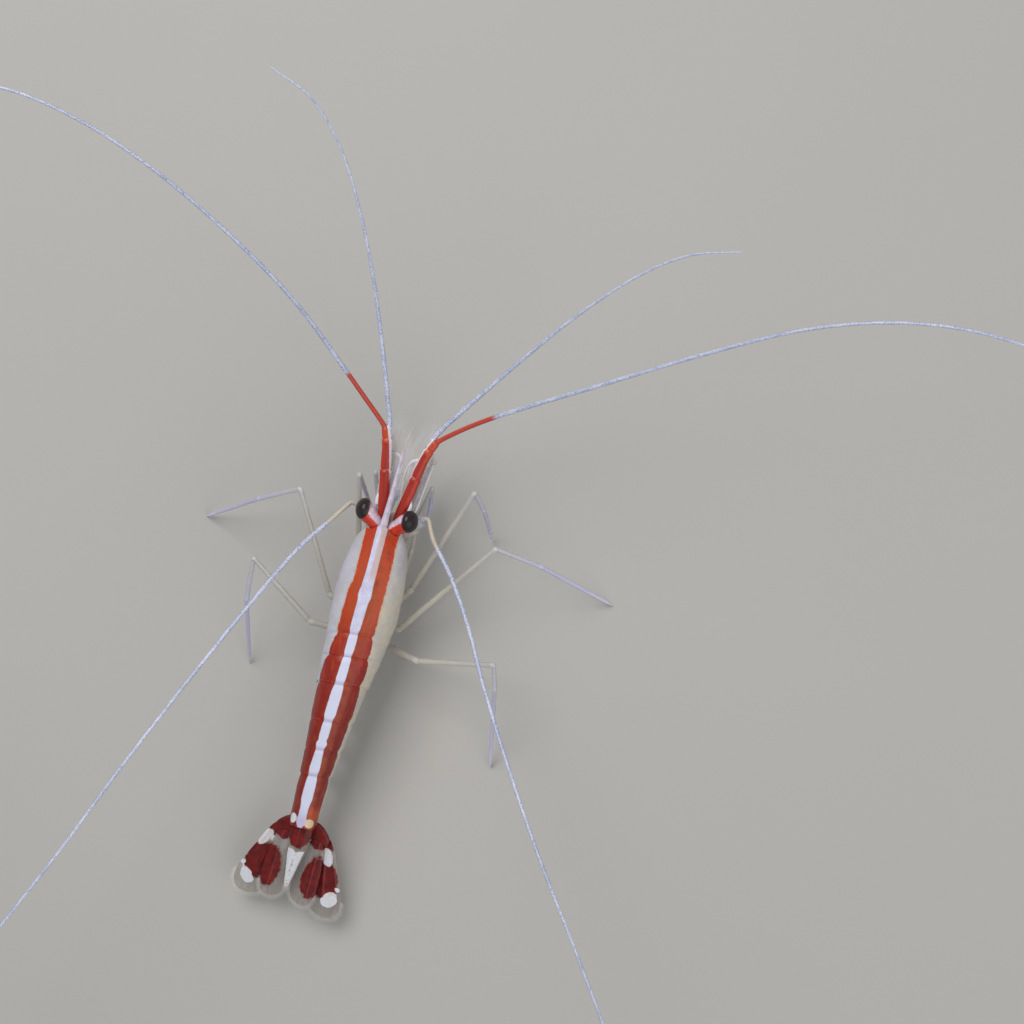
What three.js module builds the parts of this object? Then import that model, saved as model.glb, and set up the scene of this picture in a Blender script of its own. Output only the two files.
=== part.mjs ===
// A Pacific cleaner shrimp at life size, standing still on its six walking feet.
//
// Millimetres, +Z up. In the animal's own frame the floor is z = 0, the head points to -Y, the
// animal's left is +X and the body's midline is x = 0. The finished group is shifted so that its
// origin lies at the bottom centre of its bounding box.

import * as THREE from 'three';

// ---------------------------------------------------------------- driving dimensions

const GAP = 0.3; // clearance between neighbouring pieces
const SIDES = { carapace: 26, somite: 18, limb: 7, stout: 8, feeler: 6 };

// The trunk's profile: y, half width, top and lower edge at each station.
const CARAPACE = [
  [-5.6, 2.45, 13.25, 8.3],
  [-4.6, 3.0, 13.45, 7.0],
  [-3.0, 3.4, 13.55, 6.2],
  [-0.5, 3.9, 13.6, 5.5],
  [2.0, 4.1, 13.5, 5.0],
  [4.6, 3.95, 13.3, 4.8],
  [6.8, 3.6, 13.0, 5.2],
];
const ABDOMEN = [
  [7.1, 3.5, 12.9, 5.4],
  [9.3, 3.4, 12.75, 5.2],
  [12.6, 3.05, 12.5, 5.1],
  [17.2, 2.5, 11.8, 5.0],
  [20.7, 2.1, 11.0, 5.0],
  [23.9, 1.8, 10.1, 5.0],
  [30.0, 1.45, 8.5, 4.9],
];
const SOMITE_ENDS = [7.1, 9.3, 12.6, 17.2, 20.7, 23.9, 30.0];
const WIDEST = 0.45; // height of the widest level, as a share of the trunk's height
const ROUNDNESS = { upper: 2.15, lower: 2.6 }; // superellipse exponents above and below it
const BELLY = { carapace: 0.8, somite: 1.1, reach: 0.62 }; // how far the sternum is hollowed
const PLEURON_SCALLOP = 0.9; // how much a side flap's corners are rounded up
const TAIL_DRIFT = { amount: 0.4, from: 14, to: 30 }; // the tail curves gently to the left

const ROSTRUM = {
  root: new THREE.Vector3(0, -5.95, 12.9),
  tip: new THREE.Vector3(0, -15.3, 14.15),
  halfWidth: [0.62, 0.26],
  height: [1.1, 0.5],
  keel: 0.45, // depth of the belly of the blade, a third of the way along
  dorsalTeeth: 6,
  ventralTeeth: 4,
  toothHeight: 0.26,
};

const EYE = { x: 2.86, y: -7.72, z: 12.6, across: 1.2, deep: 0.98, toe: 36 };
const EYESTALK = { base: new THREE.Vector3(1.5, -6.66, 12.3), radii: [0.66, 0.9], length: 0.72 };

// Antennule peduncles, from root to tip, and how thick they are.
const PEDUNCLE_RADII = [0.5, 0.6, 0.6, 0.58, 0.46];
const PEDUNCLE_LEFT = [
  [0.85, -8.2, 11.8],
  [1.33, -10.6, 12.1],
  [1.87, -13.45, 12.5],
  [2.43, -15.95, 12.8],
  [3.05, -17.6, 13.1],
];
const PEDUNCLE_RIGHT = [
  [-0.85, -8.2, 11.8],
  [-1.6, -11.2, 12.1],
  [-2.05, -13.9, 12.5],
  [-2.5, -15.75, 12.8],
  [-3.3, -17.5, 13.1],
];

// Feelers: the points each one passes through, its thickness at root and tip, its steps.
const FEELERS = {
  antennule_outer_left: {
    radii: [0.34, 0.25],
    points: [
      [3.6, -18.3, 13.5], [5.9, -20.6, 14.6], [8.4, -22.5, 16.0], [15.25, -28.23, 22.0],
      [22.4, -32.85, 28.0], [31.91, -37.55, 34.0], [41.04, -40.48, 38.0], [49.8, -41.4, 40.0],
      [58.5, -39.8, 40.5],
    ],
  },
  antennule_outer_right: {
    radii: [0.34, 0.25],
    points: [
      [-3.9, -18.1, 13.4], [-6.1, -19.8, 14.4], [-9.7, -21.8, 16.0], [-21.1, -28.6, 22.0],
      [-31.78, -34.51, 28.0], [-42.01, -39.65, 33.0], [-50.12, -42.45, 36.0], [-57.4, -43.9, 37.0],
      [-64.0, -44.2, 36.8], [-71.5, -43.4, 36.0],
    ],
  },
  antennule_inner_left: {
    radii: [0.32, 0.25],
    points: [
      [2.75, -18.4, 13.2], [3.5, -20.7, 14.0], [5.96, -28.06, 17.0], [8.18, -34.21, 20.0],
      [10.6, -39.8, 23.0], [14.18, -46.1, 26.0], [18.67, -50.59, 28.0], [24.0, -52.7, 29.0],
    ],
  },
  antennule_inner_right: {
    radii: [0.32, 0.25],
    points: [
      [-3.1, -18.3, 13.2], [-7.07, -24.06, 15.0], [-11.87, -30.32, 18.0], [-16.52, -35.9, 21.0],
      [-22.22, -41.57, 24.0], [-27.3, -45.0, 26.0], [-32.9, -46.8, 27.0],
    ],
  },
  antenna_left: {
    radii: [0.34, 0.26],
    points: [
      [5.25, -7.7, 10.25], [6.7, -5.3, 11.0], [8.77, -1.52, 13.0], [12.09, 7.27, 17.0],
      [19.22, 26.96, 22.0], [23.4, 39.2, 24.0], [27.4, 49.5, 25.0], [31.5, 59.5, 25.2],
    ],
  },
  antenna_right: {
    radii: [0.34, 0.26],
    points: [
      [-4.6, -7.95, 10.4], [-5.7, -6.5, 10.9], [-9.2, -3.1, 13.0], [-13.21, 1.8, 15.5],
      [-17.63, 8.28, 18.0], [-24.38, 17.48, 21.0], [-30.22, 25.0, 23.0], [-36.47, 32.72, 24.0],
      [-41.68, 39.56, 24.0], [-47.5, 47.8, 23.2],
    ],
  },
};
const FEELER_STEPS = 13; // rings along each half of a feeler

const ANTENNA_PEDUNCLE_RADII = [0.68, 0.66, 0.52, 0.4];
const ANTENNA_PEDUNCLE_LEFT = [[2.0, -6.2, 8.8], [2.9, -6.9, 8.9], [3.85, -7.7, 9.4], [4.45, -8.1, 9.8]];
const ANTENNA_PEDUNCLE_RIGHT = [[-2.0, -6.2, 8.8], [-2.8, -7.1, 8.9], [-3.45, -8.0, 9.4], [-3.85, -8.6, 9.8]];

const SCALE = { // antennal scale: a blade beside each antennule
  root: [1.75, -7.6], tip: [1.85, -14.4], halfWidth: 1.4, level: 10.35, rise: 0.5, thickness: 0.5,
};

// Walking legs: the points of each from the hip to the foot, and the radius at each.
const WALKING_LEGS = {
  leg_3_left: [[1.7, 2.6, 4.55], [2.4, 1.9, 3.9], [3.3, -1.0, 4.6], [5.0, -11.5, 10.5], [4.6, -9.9, 7.0], [3.7, -6.7, 0]],
  leg_4_left: [[1.7, 4.4, 4.5], [2.6, 4.4, 3.9], [5.6, 3.3, 5.0], [11.0, -7.9, 12.0], [16.3, -5.3, 8.5], [24.0, -1.3, 0]],
  leg_5_left: [[1.7, 6.2, 4.5], [2.4, 7.0, 3.9], [6.8, 7.0, 6.0], [14.2, 1.5, 11.5], [14.3, 6.6, 8.5], [13.7, 14.3, 0]],
  leg_3_right: [[-1.7, 2.6, 4.55], [-2.4, 1.9, 3.9], [-3.7, 0.0, 4.5], [-9.1, -13.1, 12.0], [-10.3, -11.4, 9.5], [-10.8, -8.2, 0]],
  leg_4_right: [[-1.7, 4.4, 4.5], [-2.4, 4.9, 3.9], [-3.6, 5.0, 4.5], [-12.9, -7.5, 9.5], [-18.3, -6.9, 6.5], [-26.9, -4.8, 0]],
  leg_5_right: [[-1.7, 6.2, 4.5], [-2.3, 7.2, 3.9], [-7.0, 7.9, 6.0], [-16.5, 5.6, 9.5], [-17.2, 8.4, 8.0], [-18.1, 18.0, 0]],
};
const WALKING_RADII = [0.5, 0.46, 0.42, 0.36, 0.33, 0.28];
const FOOT = { radius: 0.4, height: 0.7 };

// Clawed legs and the third jaw-legs, folded under the head: the left one of each pair.
const CLAWED_LEGS = {
  leg_1: {
    points: [[1.1, -0.6, 4.8], [1.25, -1.4, 4.1], [1.35, -5.0, 3.8], [1.6, -7.4, 5.0], [1.45, -9.2, 5.0], [1.0, -11.4, 4.2]],
    radii: [0.45, 0.42, 0.36, 0.34, 0.46, 0.25],
  },
  leg_2: {
    points: [[1.6, 1.0, 4.6], [2.2, 0.2, 3.9], [2.5, -4.5, 5.0], [2.5, -8.8, 6.6], [3.55, -12.3, 9.0], [3.35, -10.0, 5.6], [2.95, -7.6, 3.3]],
    radii: [0.42, 0.38, 0.32, 0.3, 0.3, 0.3, 0.25],
  },
};
const MAXILLIPED = {
  points: [[0.75, -2.6, 5.2], [0.85, -3.4, 4.75], [1.1, -6.6, 6.2], [1.5, -10.5, 7.4], [1.75, -14.0, 6.4]],
  radii: [0.42, 0.4, 0.36, 0.32, 0.25],
};

// Swimmerets, one pair under each of the first five somites. Each bends to the rear: distances to
// the rear of the somite's middle, heights, and half widths along it.
const PLEOPOD = {
  outwards: 0.44, // share of the somite's half width
  reach: [-0.35, -0.15, 0.3, 1.2, 2.5],
  heights: [4.95, 4.0, 2.9, 2.15, 1.9],
  halfWidths: [0.36, 0.5, 0.52, 0.66, 0.4],
  thinness: 0.6,
};

// The tail fan lies in its own sloping plane: x to the left, y to the rear, z up from the plane.
const FAN = { at: new THREE.Vector3(TAIL_DRIFT.amount, 30.32, 7.35), pitch: -15.6, yaw: -2.5 };
const TELSON = { length: 7.9, halfWidths: [1.25, 0.34], halfThickness: [0.36, 0.25] };
const PROTOPOD = { from: [1.5, 0.25], to: [2.75, 1.75], level: -1.05, halfWidth: 0.82, halfThickness: 0.42 };
const ENDOPOD = { thickness: 0.5, level: -1.1 };
const EXOPOD = { thickness: 0.5, level: -1.9 };

const COLOURS = {
  shell: [0xb9523a, 0.35], white: [0xd8d4e0, 0.4], eye: [0x2a2226, 0.15], stalk: [0xd8b8bb, 0.35],
  peduncle: [0x9c2b22, 0.35], flagellum: [0xc4cad6, 0.4], antenna: [0xb3b1a2, 0.4],
  limb: [0xa9a4b4, 0.3], swimmeret: [0xbfb6ae, 0.4], tail: [0x7b1f1b, 0.35], glassy: [0xb8b0a6, 0.3],
};

// ---------------------------------------------------------------- solids from rings

// Signed volume of an indexed closed mesh: positive when its faces point outwards.
function signedVolume(positions, index) {
  const [a, b, c] = [new THREE.Vector3(), new THREE.Vector3(), new THREE.Vector3()];
  let sum = 0;
  for (let i = 0; i < index.length; i += 3) {
    a.fromArray(positions, 3 * index[i]);
    b.fromArray(positions, 3 * index[i + 1]);
    c.fromArray(positions, 3 * index[i + 2]);
    sum += a.dot(b.cross(c)) / 6;
  }
  return sum;
}

// A closed solid through rings of equal count, each end closed by a fan round its middle.
function loft(rings) {
  const sides = rings[0].length;
  const middle = (ring) => ring.reduce((sum, p) => sum.add(p), new THREE.Vector3()).divideScalar(sides);
  const points = [...rings.flat(), middle(rings[0]), middle(rings.at(-1))];
  const positions = points.flatMap((p) => p.toArray());
  const [firstCap, lastCap] = [points.length - 2, points.length - 1];
  const lastRing = (rings.length - 1) * sides;
  const index = [];
  for (let side = 0; side < sides; side += 1) {
    const next = (side + 1) % sides;
    for (let row = 0; row < lastRing; row += sides) {
      index.push(row + side, row + next, row + sides + next);
      index.push(row + side, row + sides + next, row + sides + side);
    }
    index.push(firstCap, next, side, lastCap, lastRing + side, lastRing + next);
  }
  if (signedVolume(positions, index) < 0) index.reverse();
  const geometry = new THREE.BufferGeometry();
  geometry.setAttribute('position', new THREE.Float32BufferAttribute(positions, 3));
  geometry.setIndex(index);
  return geometry;
}

// Rings of an oval section carried along stations { at, along, radius }, turned as little as
// possible from one to the next; flatness squeezes the section along the carried normal.
function carriedRings(stations, sides, flatness = 1, normal = new THREE.Vector3(0, 0, 1)) {
  const up = normal.clone().projectOnPlane(stations[0].along).normalize();
  const turn = new THREE.Quaternion();
  return stations.map(({ at, along, radius }, i) => {
    if (i > 0) up.applyQuaternion(turn.setFromUnitVectors(stations[i - 1].along, along));
    up.projectOnPlane(along).normalize();
    const across = new THREE.Vector3().crossVectors(along, up);
    return Array.from({ length: sides }, (_, side) => {
      const angle = (2 * Math.PI * (side + 0.5)) / sides;
      return at.clone()
        .addScaledVector(across, radius * Math.cos(angle))
        .addScaledVector(up, radius * flatness * Math.sin(angle));
    });
  });
}

// Stations of a jointed limb: one at each gentle bend, three round each sharp one.
function jointedStations(points, radii) {
  const SHARP = THREE.MathUtils.degToRad(18);
  const directions = points.slice(1).map((p, i) => p.clone().sub(points[i]).normalize());
  const stations = [{ at: points[0], along: directions[0], radius: radii[0] }];
  for (let i = 1; i < points.length - 1; i += 1) {
    const [before, after] = [directions[i - 1], directions[i]];
    const turn = before.angleTo(after);
    const mean = before.clone().add(after).normalize();
    if (turn < SHARP) {
      stations.push({ at: points[i], along: mean, radius: radii[i] });
    } else {
      const clear = 1.15 * radii[i] * Math.tan(turn / 2);
      stations.push({ at: points[i].clone().addScaledVector(before, -clear), along: before, radius: radii[i] });
      stations.push({ at: points[i], along: mean, radius: radii[i] * 1.12 });
      stations.push({ at: points[i].clone().addScaledVector(after, clear), along: after, radius: radii[i] });
    }
  }
  stations.push({ at: points.at(-1), along: directions.at(-1), radius: radii.at(-1) });
  return stations;
}

const toVectors = (points) => points.map((p) => new THREE.Vector3(...p));
const mirrored = (points) => points.map(([x, y, z]) => [-x, y, z]);

function limb(points, radii, sides = SIDES.limb) {
  return loft(carriedRings(jointedStations(toVectors(points), radii), sides));
}

// A walking leg ends in a small level foot on the floor.
function walkingLeg(points) {
  const stations = jointedStations(toVectors(points), WALKING_RADII);
  const foot = stations.pop();
  const down = new THREE.Vector3(0, 0, -1);
  const ankle = foot.at.clone().addScaledVector(foot.along, -FOOT.height / Math.abs(foot.along.z));
  stations.push({ at: ankle, along: foot.along, radius: foot.radius });
  stations.push({ at: foot.at, along: down, radius: FOOT.radius });
  const sideways = new THREE.Vector3(1, 0, 0);
  return loft(carriedRings(stations, SIDES.limb, 1, sideways));
}

// One half of a feeler, the near or the far one, as a tapering tube along a smooth curve.
function feelerHalf({ points, radii }, far) {
  const curve = new THREE.CatmullRomCurve3(toVectors(points), false, 'centripetal');
  const gapShare = GAP / 2 / curve.getLength();
  const [from, to] = far ? [0.5 + gapShare, 1] : [0, 0.5 - gapShare];
  const stations = Array.from({ length: FEELER_STEPS + 1 }, (_, i) => {
    const u = THREE.MathUtils.lerp(from, to, i / FEELER_STEPS);
    return {
      at: curve.getPointAt(u),
      along: curve.getTangentAt(u),
      radius: THREE.MathUtils.lerp(...radii, u),
    };
  });
  return loft(carriedRings(stations, SIDES.feeler));
}

// ---------------------------------------------------------------- trunk

function profileOf(stations) {
  const spline = new THREE.CubicInterpolant(stations.map((s) => s[0]), stations.flatMap((s) => s.slice(1)), 3);
  return (y) => [...spline.evaluate(y)];
}

function drift(y) {
  return TAIL_DRIFT.amount * THREE.MathUtils.smoothstep(y, TAIL_DRIFT.from, TAIL_DRIFT.to);
}

// One ring of the trunk: a superellipse with its underside hollowed between the side flaps.
function trunkRing(y, halfWidth, top, bottom, hollow, sides) {
  const middle = bottom + WIDEST * (top - bottom);
  return Array.from({ length: sides }, (_, i) => {
    const angle = (2 * Math.PI * i) / sides;
    const [across, up] = [Math.sin(angle), Math.cos(angle)];
    const exponent = up >= 0 ? ROUNDNESS.upper : ROUNDNESS.lower;
    const x = halfWidth * Math.sign(across) * Math.abs(across) ** (2 / exponent);
    const rise = Math.abs(up) ** (2 / exponent);
    const share = x / (BELLY.reach * halfWidth);
    const raised = up < 0 ? hollow * Math.max(0, 1 - share * share) : 0;
    const z = up >= 0 ? middle + (top - middle) * rise : middle - (middle - bottom) * rise;
    return new THREE.Vector3(drift(y) + x, y, z + raised);
  });
}

function carapace() {
  const profile = profileOf(CARAPACE);
  const [from, to, steps] = [CARAPACE[0][0], CARAPACE.at(-1)[0], 13];
  const rings = Array.from({ length: steps + 1 }, (_, i) => {
    const y = THREE.MathUtils.lerp(from, to, i / steps);
    return trunkRing(y, ...profile(y), BELLY.carapace, SIDES.carapace);
  });
  return loft(rings);
}

// A somite: its side flaps hang lowest at mid length and round up towards both ends.
function somite(from, to) {
  const profile = profileOf(ABDOMEN);
  const steps = 6;
  const rings = Array.from({ length: steps + 1 }, (_, i) => {
    const share = i / steps;
    const y = THREE.MathUtils.lerp(from, to, share);
    const [halfWidth, top, bottom] = profile(y);
    const roundedUp = PLEURON_SCALLOP * (1 - Math.sqrt(Math.sin(Math.PI * share)));
    return trunkRing(y, halfWidth, top, bottom + roundedUp, BELLY.somite, SIDES.somite);
  });
  return loft(rings);
}

// The beak: a narrow blade with teeth above and below, thickest a third of the way along.
function rostrum() {
  const rows = 4 * ROSTRUM.dorsalTeeth;
  const toothed = (count, share) => ROSTRUM.toothHeight * ((count * share) % 1);
  const rings = Array.from({ length: rows + 1 }, (_, i) => {
    const share = i / rows;
    const at = ROSTRUM.root.clone().lerp(ROSTRUM.tip, share);
    const halfWidth = THREE.MathUtils.lerp(...ROSTRUM.halfWidth, share);
    const halfHeight = THREE.MathUtils.lerp(...ROSTRUM.height, share) / 2;
    const keel = ROSTRUM.keel * Math.sin(Math.PI * Math.min(1, share * 1.2)) ** 2;
    const above = halfHeight + toothed(ROSTRUM.dorsalTeeth, share);
    const below = halfHeight + keel + toothed(ROSTRUM.ventralTeeth, share);
    const outline = [[0, above], [halfWidth, halfHeight * 0.3], [halfWidth * 0.6, -halfHeight * 0.6],
      [0, -below], [-halfWidth * 0.6, -halfHeight * 0.6], [-halfWidth, halfHeight * 0.3]];
    return outline.map(([x, z]) => at.clone().add(new THREE.Vector3(x, 0, z)));
  });
  return loft(rings);
}

// ---------------------------------------------------------------- head

function eye() {
  const geometry = new THREE.SphereGeometry(1, 12, 8);
  geometry.scale(EYE.across, EYE.deep, EYE.across);
  return geometry;
}

function eyestalk(side) {
  const base = EYESTALK.base.clone();
  base.x *= side;
  const along = new THREE.Vector3(side * EYE.x, EYE.y, EYE.z).sub(base).normalize();
  const stations = [0, 0.5, 1].map((share) => ({
    at: base.clone().addScaledVector(along, EYESTALK.length * share),
    along,
    radius: THREE.MathUtils.lerp(...EYESTALK.radii, share),
  }));
  const rings = carriedRings(stations, SIDES.stout);
  return loft(rings);
}

// The antennal scale: a blade with a straight outer edge, a tooth there and a rounded tip.
function antennalScale(side) {
  const { root, tip, halfWidth, level, rise, thickness } = SCALE;
  const outline = new THREE.Shape();
  outline.moveTo(root[0] + 0.6, root[1]);
  outline.lineTo(root[0] - 0.6, root[1]);
  outline.quadraticCurveTo(tip[0] - 1.3 * halfWidth, 0.5 * (root[1] + tip[1]), tip[0] - halfWidth, tip[1] + 1.6);
  outline.quadraticCurveTo(tip[0] - 0.8 * halfWidth, tip[1], tip[0] + 0.5 * halfWidth, tip[1] + 0.3);
  outline.lineTo(tip[0] + halfWidth, tip[1] - 0.1);
  outline.lineTo(root[0] + 0.9 * halfWidth, root[1] - 1.2);
  outline.closePath();
  const geometry = new THREE.ExtrudeGeometry(outline, { depth: thickness, bevelEnabled: false, curveSegments: 6 });
  const slope = rise / (root[1] - tip[1]);
  geometry.translate(0, -root[1], 0);
  geometry.rotateX(-Math.atan(slope));
  geometry.translate(0, root[1], level);
  return side > 0 ? geometry : reflected(geometry);
}

// A geometry reflected in the midline, with its faces turned back to point outwards.
function reflected(geometry) {
  const copy = geometry.index ? geometry.toNonIndexed() : geometry.clone();
  const position = copy.getAttribute('position');
  const corners = Array.from({ length: position.count }, (_, i) => {
    const swapped = i + [0, 1, -1][i % 3];
    return [-position.getX(swapped), position.getY(swapped), position.getZ(swapped)];
  });
  const flipped = new THREE.BufferGeometry();
  flipped.setAttribute('position', new THREE.Float32BufferAttribute(corners.flat(), 3));
  return flipped;
}

// ---------------------------------------------------------------- tail fan and swimmerets

// The telson: a plate that narrows to the rear and thins to its tip.
function telson() {
  const steps = 7;
  const rings = Array.from({ length: steps + 1 }, (_, i) => {
    const share = i / steps;
    const narrowing = share ** 0.9;
    const halfWidth = THREE.MathUtils.lerp(...TELSON.halfWidths, narrowing);
    const halfThickness = THREE.MathUtils.lerp(...TELSON.halfThickness, share);
    return Array.from({ length: SIDES.stout }, (_side, side) => {
      const angle = (2 * Math.PI * (side + 0.5)) / SIDES.stout;
      const [across, up] = [Math.cos(angle), Math.sin(angle)].map((part) => part / Math.cos(Math.PI / SIDES.stout));
      return new THREE.Vector3(halfWidth * across, share * TELSON.length, halfThickness * up);
    });
  });
  return loft(rings);
}

function protopod() {
  const [from, to] = [PROTOPOD.from, PROTOPOD.to].map(([x, y]) => new THREE.Vector3(x, y, PROTOPOD.level));
  const along = to.clone().sub(from).normalize();
  const stations = [[0, 0.8], [0.35, 1], [0.75, 1], [1, 0.75]].map(([share, size]) => ({
    at: from.clone().lerp(to, share), along, radius: size * PROTOPOD.halfWidth,
  }));
  return loft(carriedRings(stations, SIDES.stout, PROTOPOD.halfThickness / PROTOPOD.halfWidth));
}

function fanBlade(outline, { thickness, level }) {
  const geometry = new THREE.ExtrudeGeometry(outline, { depth: thickness, bevelEnabled: false, curveSegments: 7 });
  geometry.translate(0, 0, level);
  return geometry;
}

// Inner blade: a long oval beside the telson.
function endopodOutline() {
  const shape = new THREE.Shape();
  shape.moveTo(1.55, 2.75);
  shape.bezierCurveTo(0.95, 4.5, 0.75, 8.2, 1.6, 9.5);
  shape.bezierCurveTo(2.0, 10.1, 2.8, 10.1, 3.15, 9.4);
  shape.bezierCurveTo(3.7, 7.6, 3.1, 4.4, 2.5, 2.85);
  shape.closePath();
  return shape;
}

// Outer blade: a nearly straight stiff outer edge and a broad round end.
function exopodOutline() {
  const shape = new THREE.Shape();
  shape.moveTo(2.35, 2.85);
  shape.bezierCurveTo(2.55, 5.0, 2.9, 7.6, 3.6, 9.7);
  shape.bezierCurveTo(4.3, 10.7, 6.0, 10.8, 6.6, 9.7);
  shape.bezierCurveTo(7.0, 8.4, 5.9, 5.6, 4.0, 2.3);
  shape.lineTo(3.35, 2.0);
  shape.closePath();
  return shape;
}

function pleopod(y, side) {
  const [halfWidth] = profileOf(ABDOMEN)(y);
  const x = drift(y) + side * PLEOPOD.outwards * halfWidth;
  const points = PLEOPOD.reach.map((rearwards, i) => [x, y + rearwards, PLEOPOD.heights[i]]);
  const stations = jointedStations(toVectors(points), PLEOPOD.halfWidths);
  return loft(carriedRings(stations, SIDES.feeler, PLEOPOD.thinness, new THREE.Vector3(0, 1, 0)));
}

// ---------------------------------------------------------------- assembly

function piece(name, geometry, [colour, roughness]) {
  const material = new THREE.MeshStandardMaterial({ color: colour, roughness, metalness: 0 });
  const mesh = new THREE.Mesh(geometry, material);
  mesh.name = name;
  return mesh;
}

function trunk() {
  const group = new THREE.Group();
  group.add(piece('carapace', carapace(), COLOURS.shell));
  group.add(piece('rostrum', rostrum(), COLOURS.white));
  SOMITE_ENDS.slice(1).forEach((end, i) => {
    group.add(piece(`abdomen_${i + 1}`, somite(SOMITE_ENDS[i], end - (end < SOMITE_ENDS.at(-1) ? GAP : 0)), COLOURS.shell));
  });
  const mouth = new THREE.SphereGeometry(1, 10, 7);
  mouth.scale(0.85, 0.8, 0.9);
  mouth.translate(0, -6.85, 8.9);
  group.add(piece('mouthparts', mouth, COLOURS.limb));
  return group;
}

function head() {
  const group = new THREE.Group();
  for (const [suffix, side] of [['left', 1], ['right', -1]]) {
    const ball = piece(`eye_${suffix}`, eye(), COLOURS.eye);
    ball.position.set(side * EYE.x, EYE.y, EYE.z);
    ball.rotation.z = side * THREE.MathUtils.degToRad(90 - EYE.toe);
    group.add(ball);
    group.add(piece(`eyestalk_${suffix}`, eyestalk(side), COLOURS.stalk));
    group.add(piece(`antennal_scale_${suffix}`, antennalScale(side), COLOURS.glassy));
    const antennaRoot = side > 0 ? ANTENNA_PEDUNCLE_LEFT : ANTENNA_PEDUNCLE_RIGHT;
    group.add(piece(`antenna_peduncle_${suffix}`, limb(antennaRoot, ANTENNA_PEDUNCLE_RADII), COLOURS.antenna));
    const peduncle = side > 0 ? PEDUNCLE_LEFT : PEDUNCLE_RIGHT;
    group.add(piece(`antennule_peduncle_${suffix}`, limb(peduncle, PEDUNCLE_RADII, SIDES.stout), COLOURS.peduncle));
  }
  for (const [name, feeler] of Object.entries(FEELERS)) {
    group.add(piece(`${name}_near`, feelerHalf(feeler, false), COLOURS.flagellum));
    group.add(piece(`${name}_far`, feelerHalf(feeler, true), COLOURS.flagellum));
  }
  return group;
}

function legs() {
  const group = new THREE.Group();
  for (const [name, points] of Object.entries(WALKING_LEGS)) {
    group.add(piece(name, walkingLeg(points), COLOURS.limb));
  }
  for (const [suffix, place] of [['left', (p) => p], ['right', mirrored]]) {
    for (const [name, { points, radii }] of Object.entries(CLAWED_LEGS)) {
      group.add(piece(`${name}_${suffix}`, limb(place(points), radii), COLOURS.limb));
    }
    group.add(piece(`maxilliped_${suffix}`, limb(place(MAXILLIPED.points), MAXILLIPED.radii), COLOURS.limb));
  }
  return group;
}

function swimmerets() {
  const group = new THREE.Group();
  for (let i = 0; i < 5; i += 1) {
    const middle = 0.5 * (SOMITE_ENDS[i] + SOMITE_ENDS[i + 1]);
    group.add(piece(`pleopod_${i + 1}_left`, pleopod(middle, 1), COLOURS.swimmeret));
    group.add(piece(`pleopod_${i + 1}_right`, pleopod(middle, -1), COLOURS.swimmeret));
  }
  return group;
}

function tailFan() {
  const group = new THREE.Group();
  group.position.copy(FAN.at);
  group.rotation.set(THREE.MathUtils.degToRad(FAN.pitch), 0, THREE.MathUtils.degToRad(FAN.yaw));
  group.add(piece('telson', telson(), COLOURS.tail));
  const bases = protopod();
  const inner = fanBlade(endopodOutline(), ENDOPOD);
  const outer = fanBlade(exopodOutline(), EXOPOD);
  for (const [suffix, place] of [['left', (g) => g], ['right', reflected]]) {
    group.add(piece(`uropod_base_${suffix}`, place(bases), COLOURS.tail));
    group.add(piece(`uropod_inner_${suffix}`, place(inner), COLOURS.tail));
    group.add(piece(`uropod_outer_${suffix}`, place(outer), COLOURS.tail));
  }
  return group;
}

const shrimp = new THREE.Group();
shrimp.add(trunk(), head(), legs(), swimmerets(), tailFan());

const box = new THREE.Box3().setFromObject(shrimp, true);
const centre = box.getCenter(new THREE.Vector3());
shrimp.position.set(-centre.x, -centre.y, -box.min.z);

export default shrimp;
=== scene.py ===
"""A Pacific cleaner shrimp at life size, standing still on its six walking feet.

Shapes are worked out in millimetres in the animal's own frame: the floor is z = 0, the head points
to -Y, the animal's left is +X and the midline is x = 0. Space carries them into the CAD frame.
"""

import logging
import math
from collections.abc import Callable, Sequence
from dataclasses import dataclass, field, replace
from enum import Enum

import bpy
import numpy as np
from mathutils import Matrix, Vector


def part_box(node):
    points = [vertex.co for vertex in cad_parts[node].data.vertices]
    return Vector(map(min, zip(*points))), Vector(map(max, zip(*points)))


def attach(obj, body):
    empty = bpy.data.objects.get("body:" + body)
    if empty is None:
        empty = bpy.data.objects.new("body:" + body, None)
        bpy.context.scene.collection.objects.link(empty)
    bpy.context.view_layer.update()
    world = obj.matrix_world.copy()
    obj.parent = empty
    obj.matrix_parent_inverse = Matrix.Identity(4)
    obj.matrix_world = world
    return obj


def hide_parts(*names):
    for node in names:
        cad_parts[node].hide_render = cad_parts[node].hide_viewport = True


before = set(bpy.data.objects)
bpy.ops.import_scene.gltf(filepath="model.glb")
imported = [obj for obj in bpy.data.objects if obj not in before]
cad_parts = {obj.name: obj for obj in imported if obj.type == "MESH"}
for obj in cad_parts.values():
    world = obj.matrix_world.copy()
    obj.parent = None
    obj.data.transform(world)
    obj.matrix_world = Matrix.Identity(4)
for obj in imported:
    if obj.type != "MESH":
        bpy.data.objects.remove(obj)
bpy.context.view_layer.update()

Array = np.ndarray
Colour = tuple[float, float, float, float]
Point = tuple[float, float, float]
Knots = Sequence[Sequence[float]]
LOG = logging.getLogger("cleaner_shrimp")
MM = 0.001
SIDES = {"left": 1.0, "right": -1.0}
UP = np.array([0.0, 0.0, 1.0])


# ---------------- curves and profiles


def unit(vectors: Array) -> Array:
    """The same directions, each of length 1."""
    return vectors / np.maximum(np.linalg.norm(vectors, axis=-1, keepdims=True), 1e-12)


def squared(direction: Array, along: Array) -> Array:
    """The unit directions closest to one direction that are square to others."""
    return unit(direction - (along @ direction)[..., None] * along)


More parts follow.
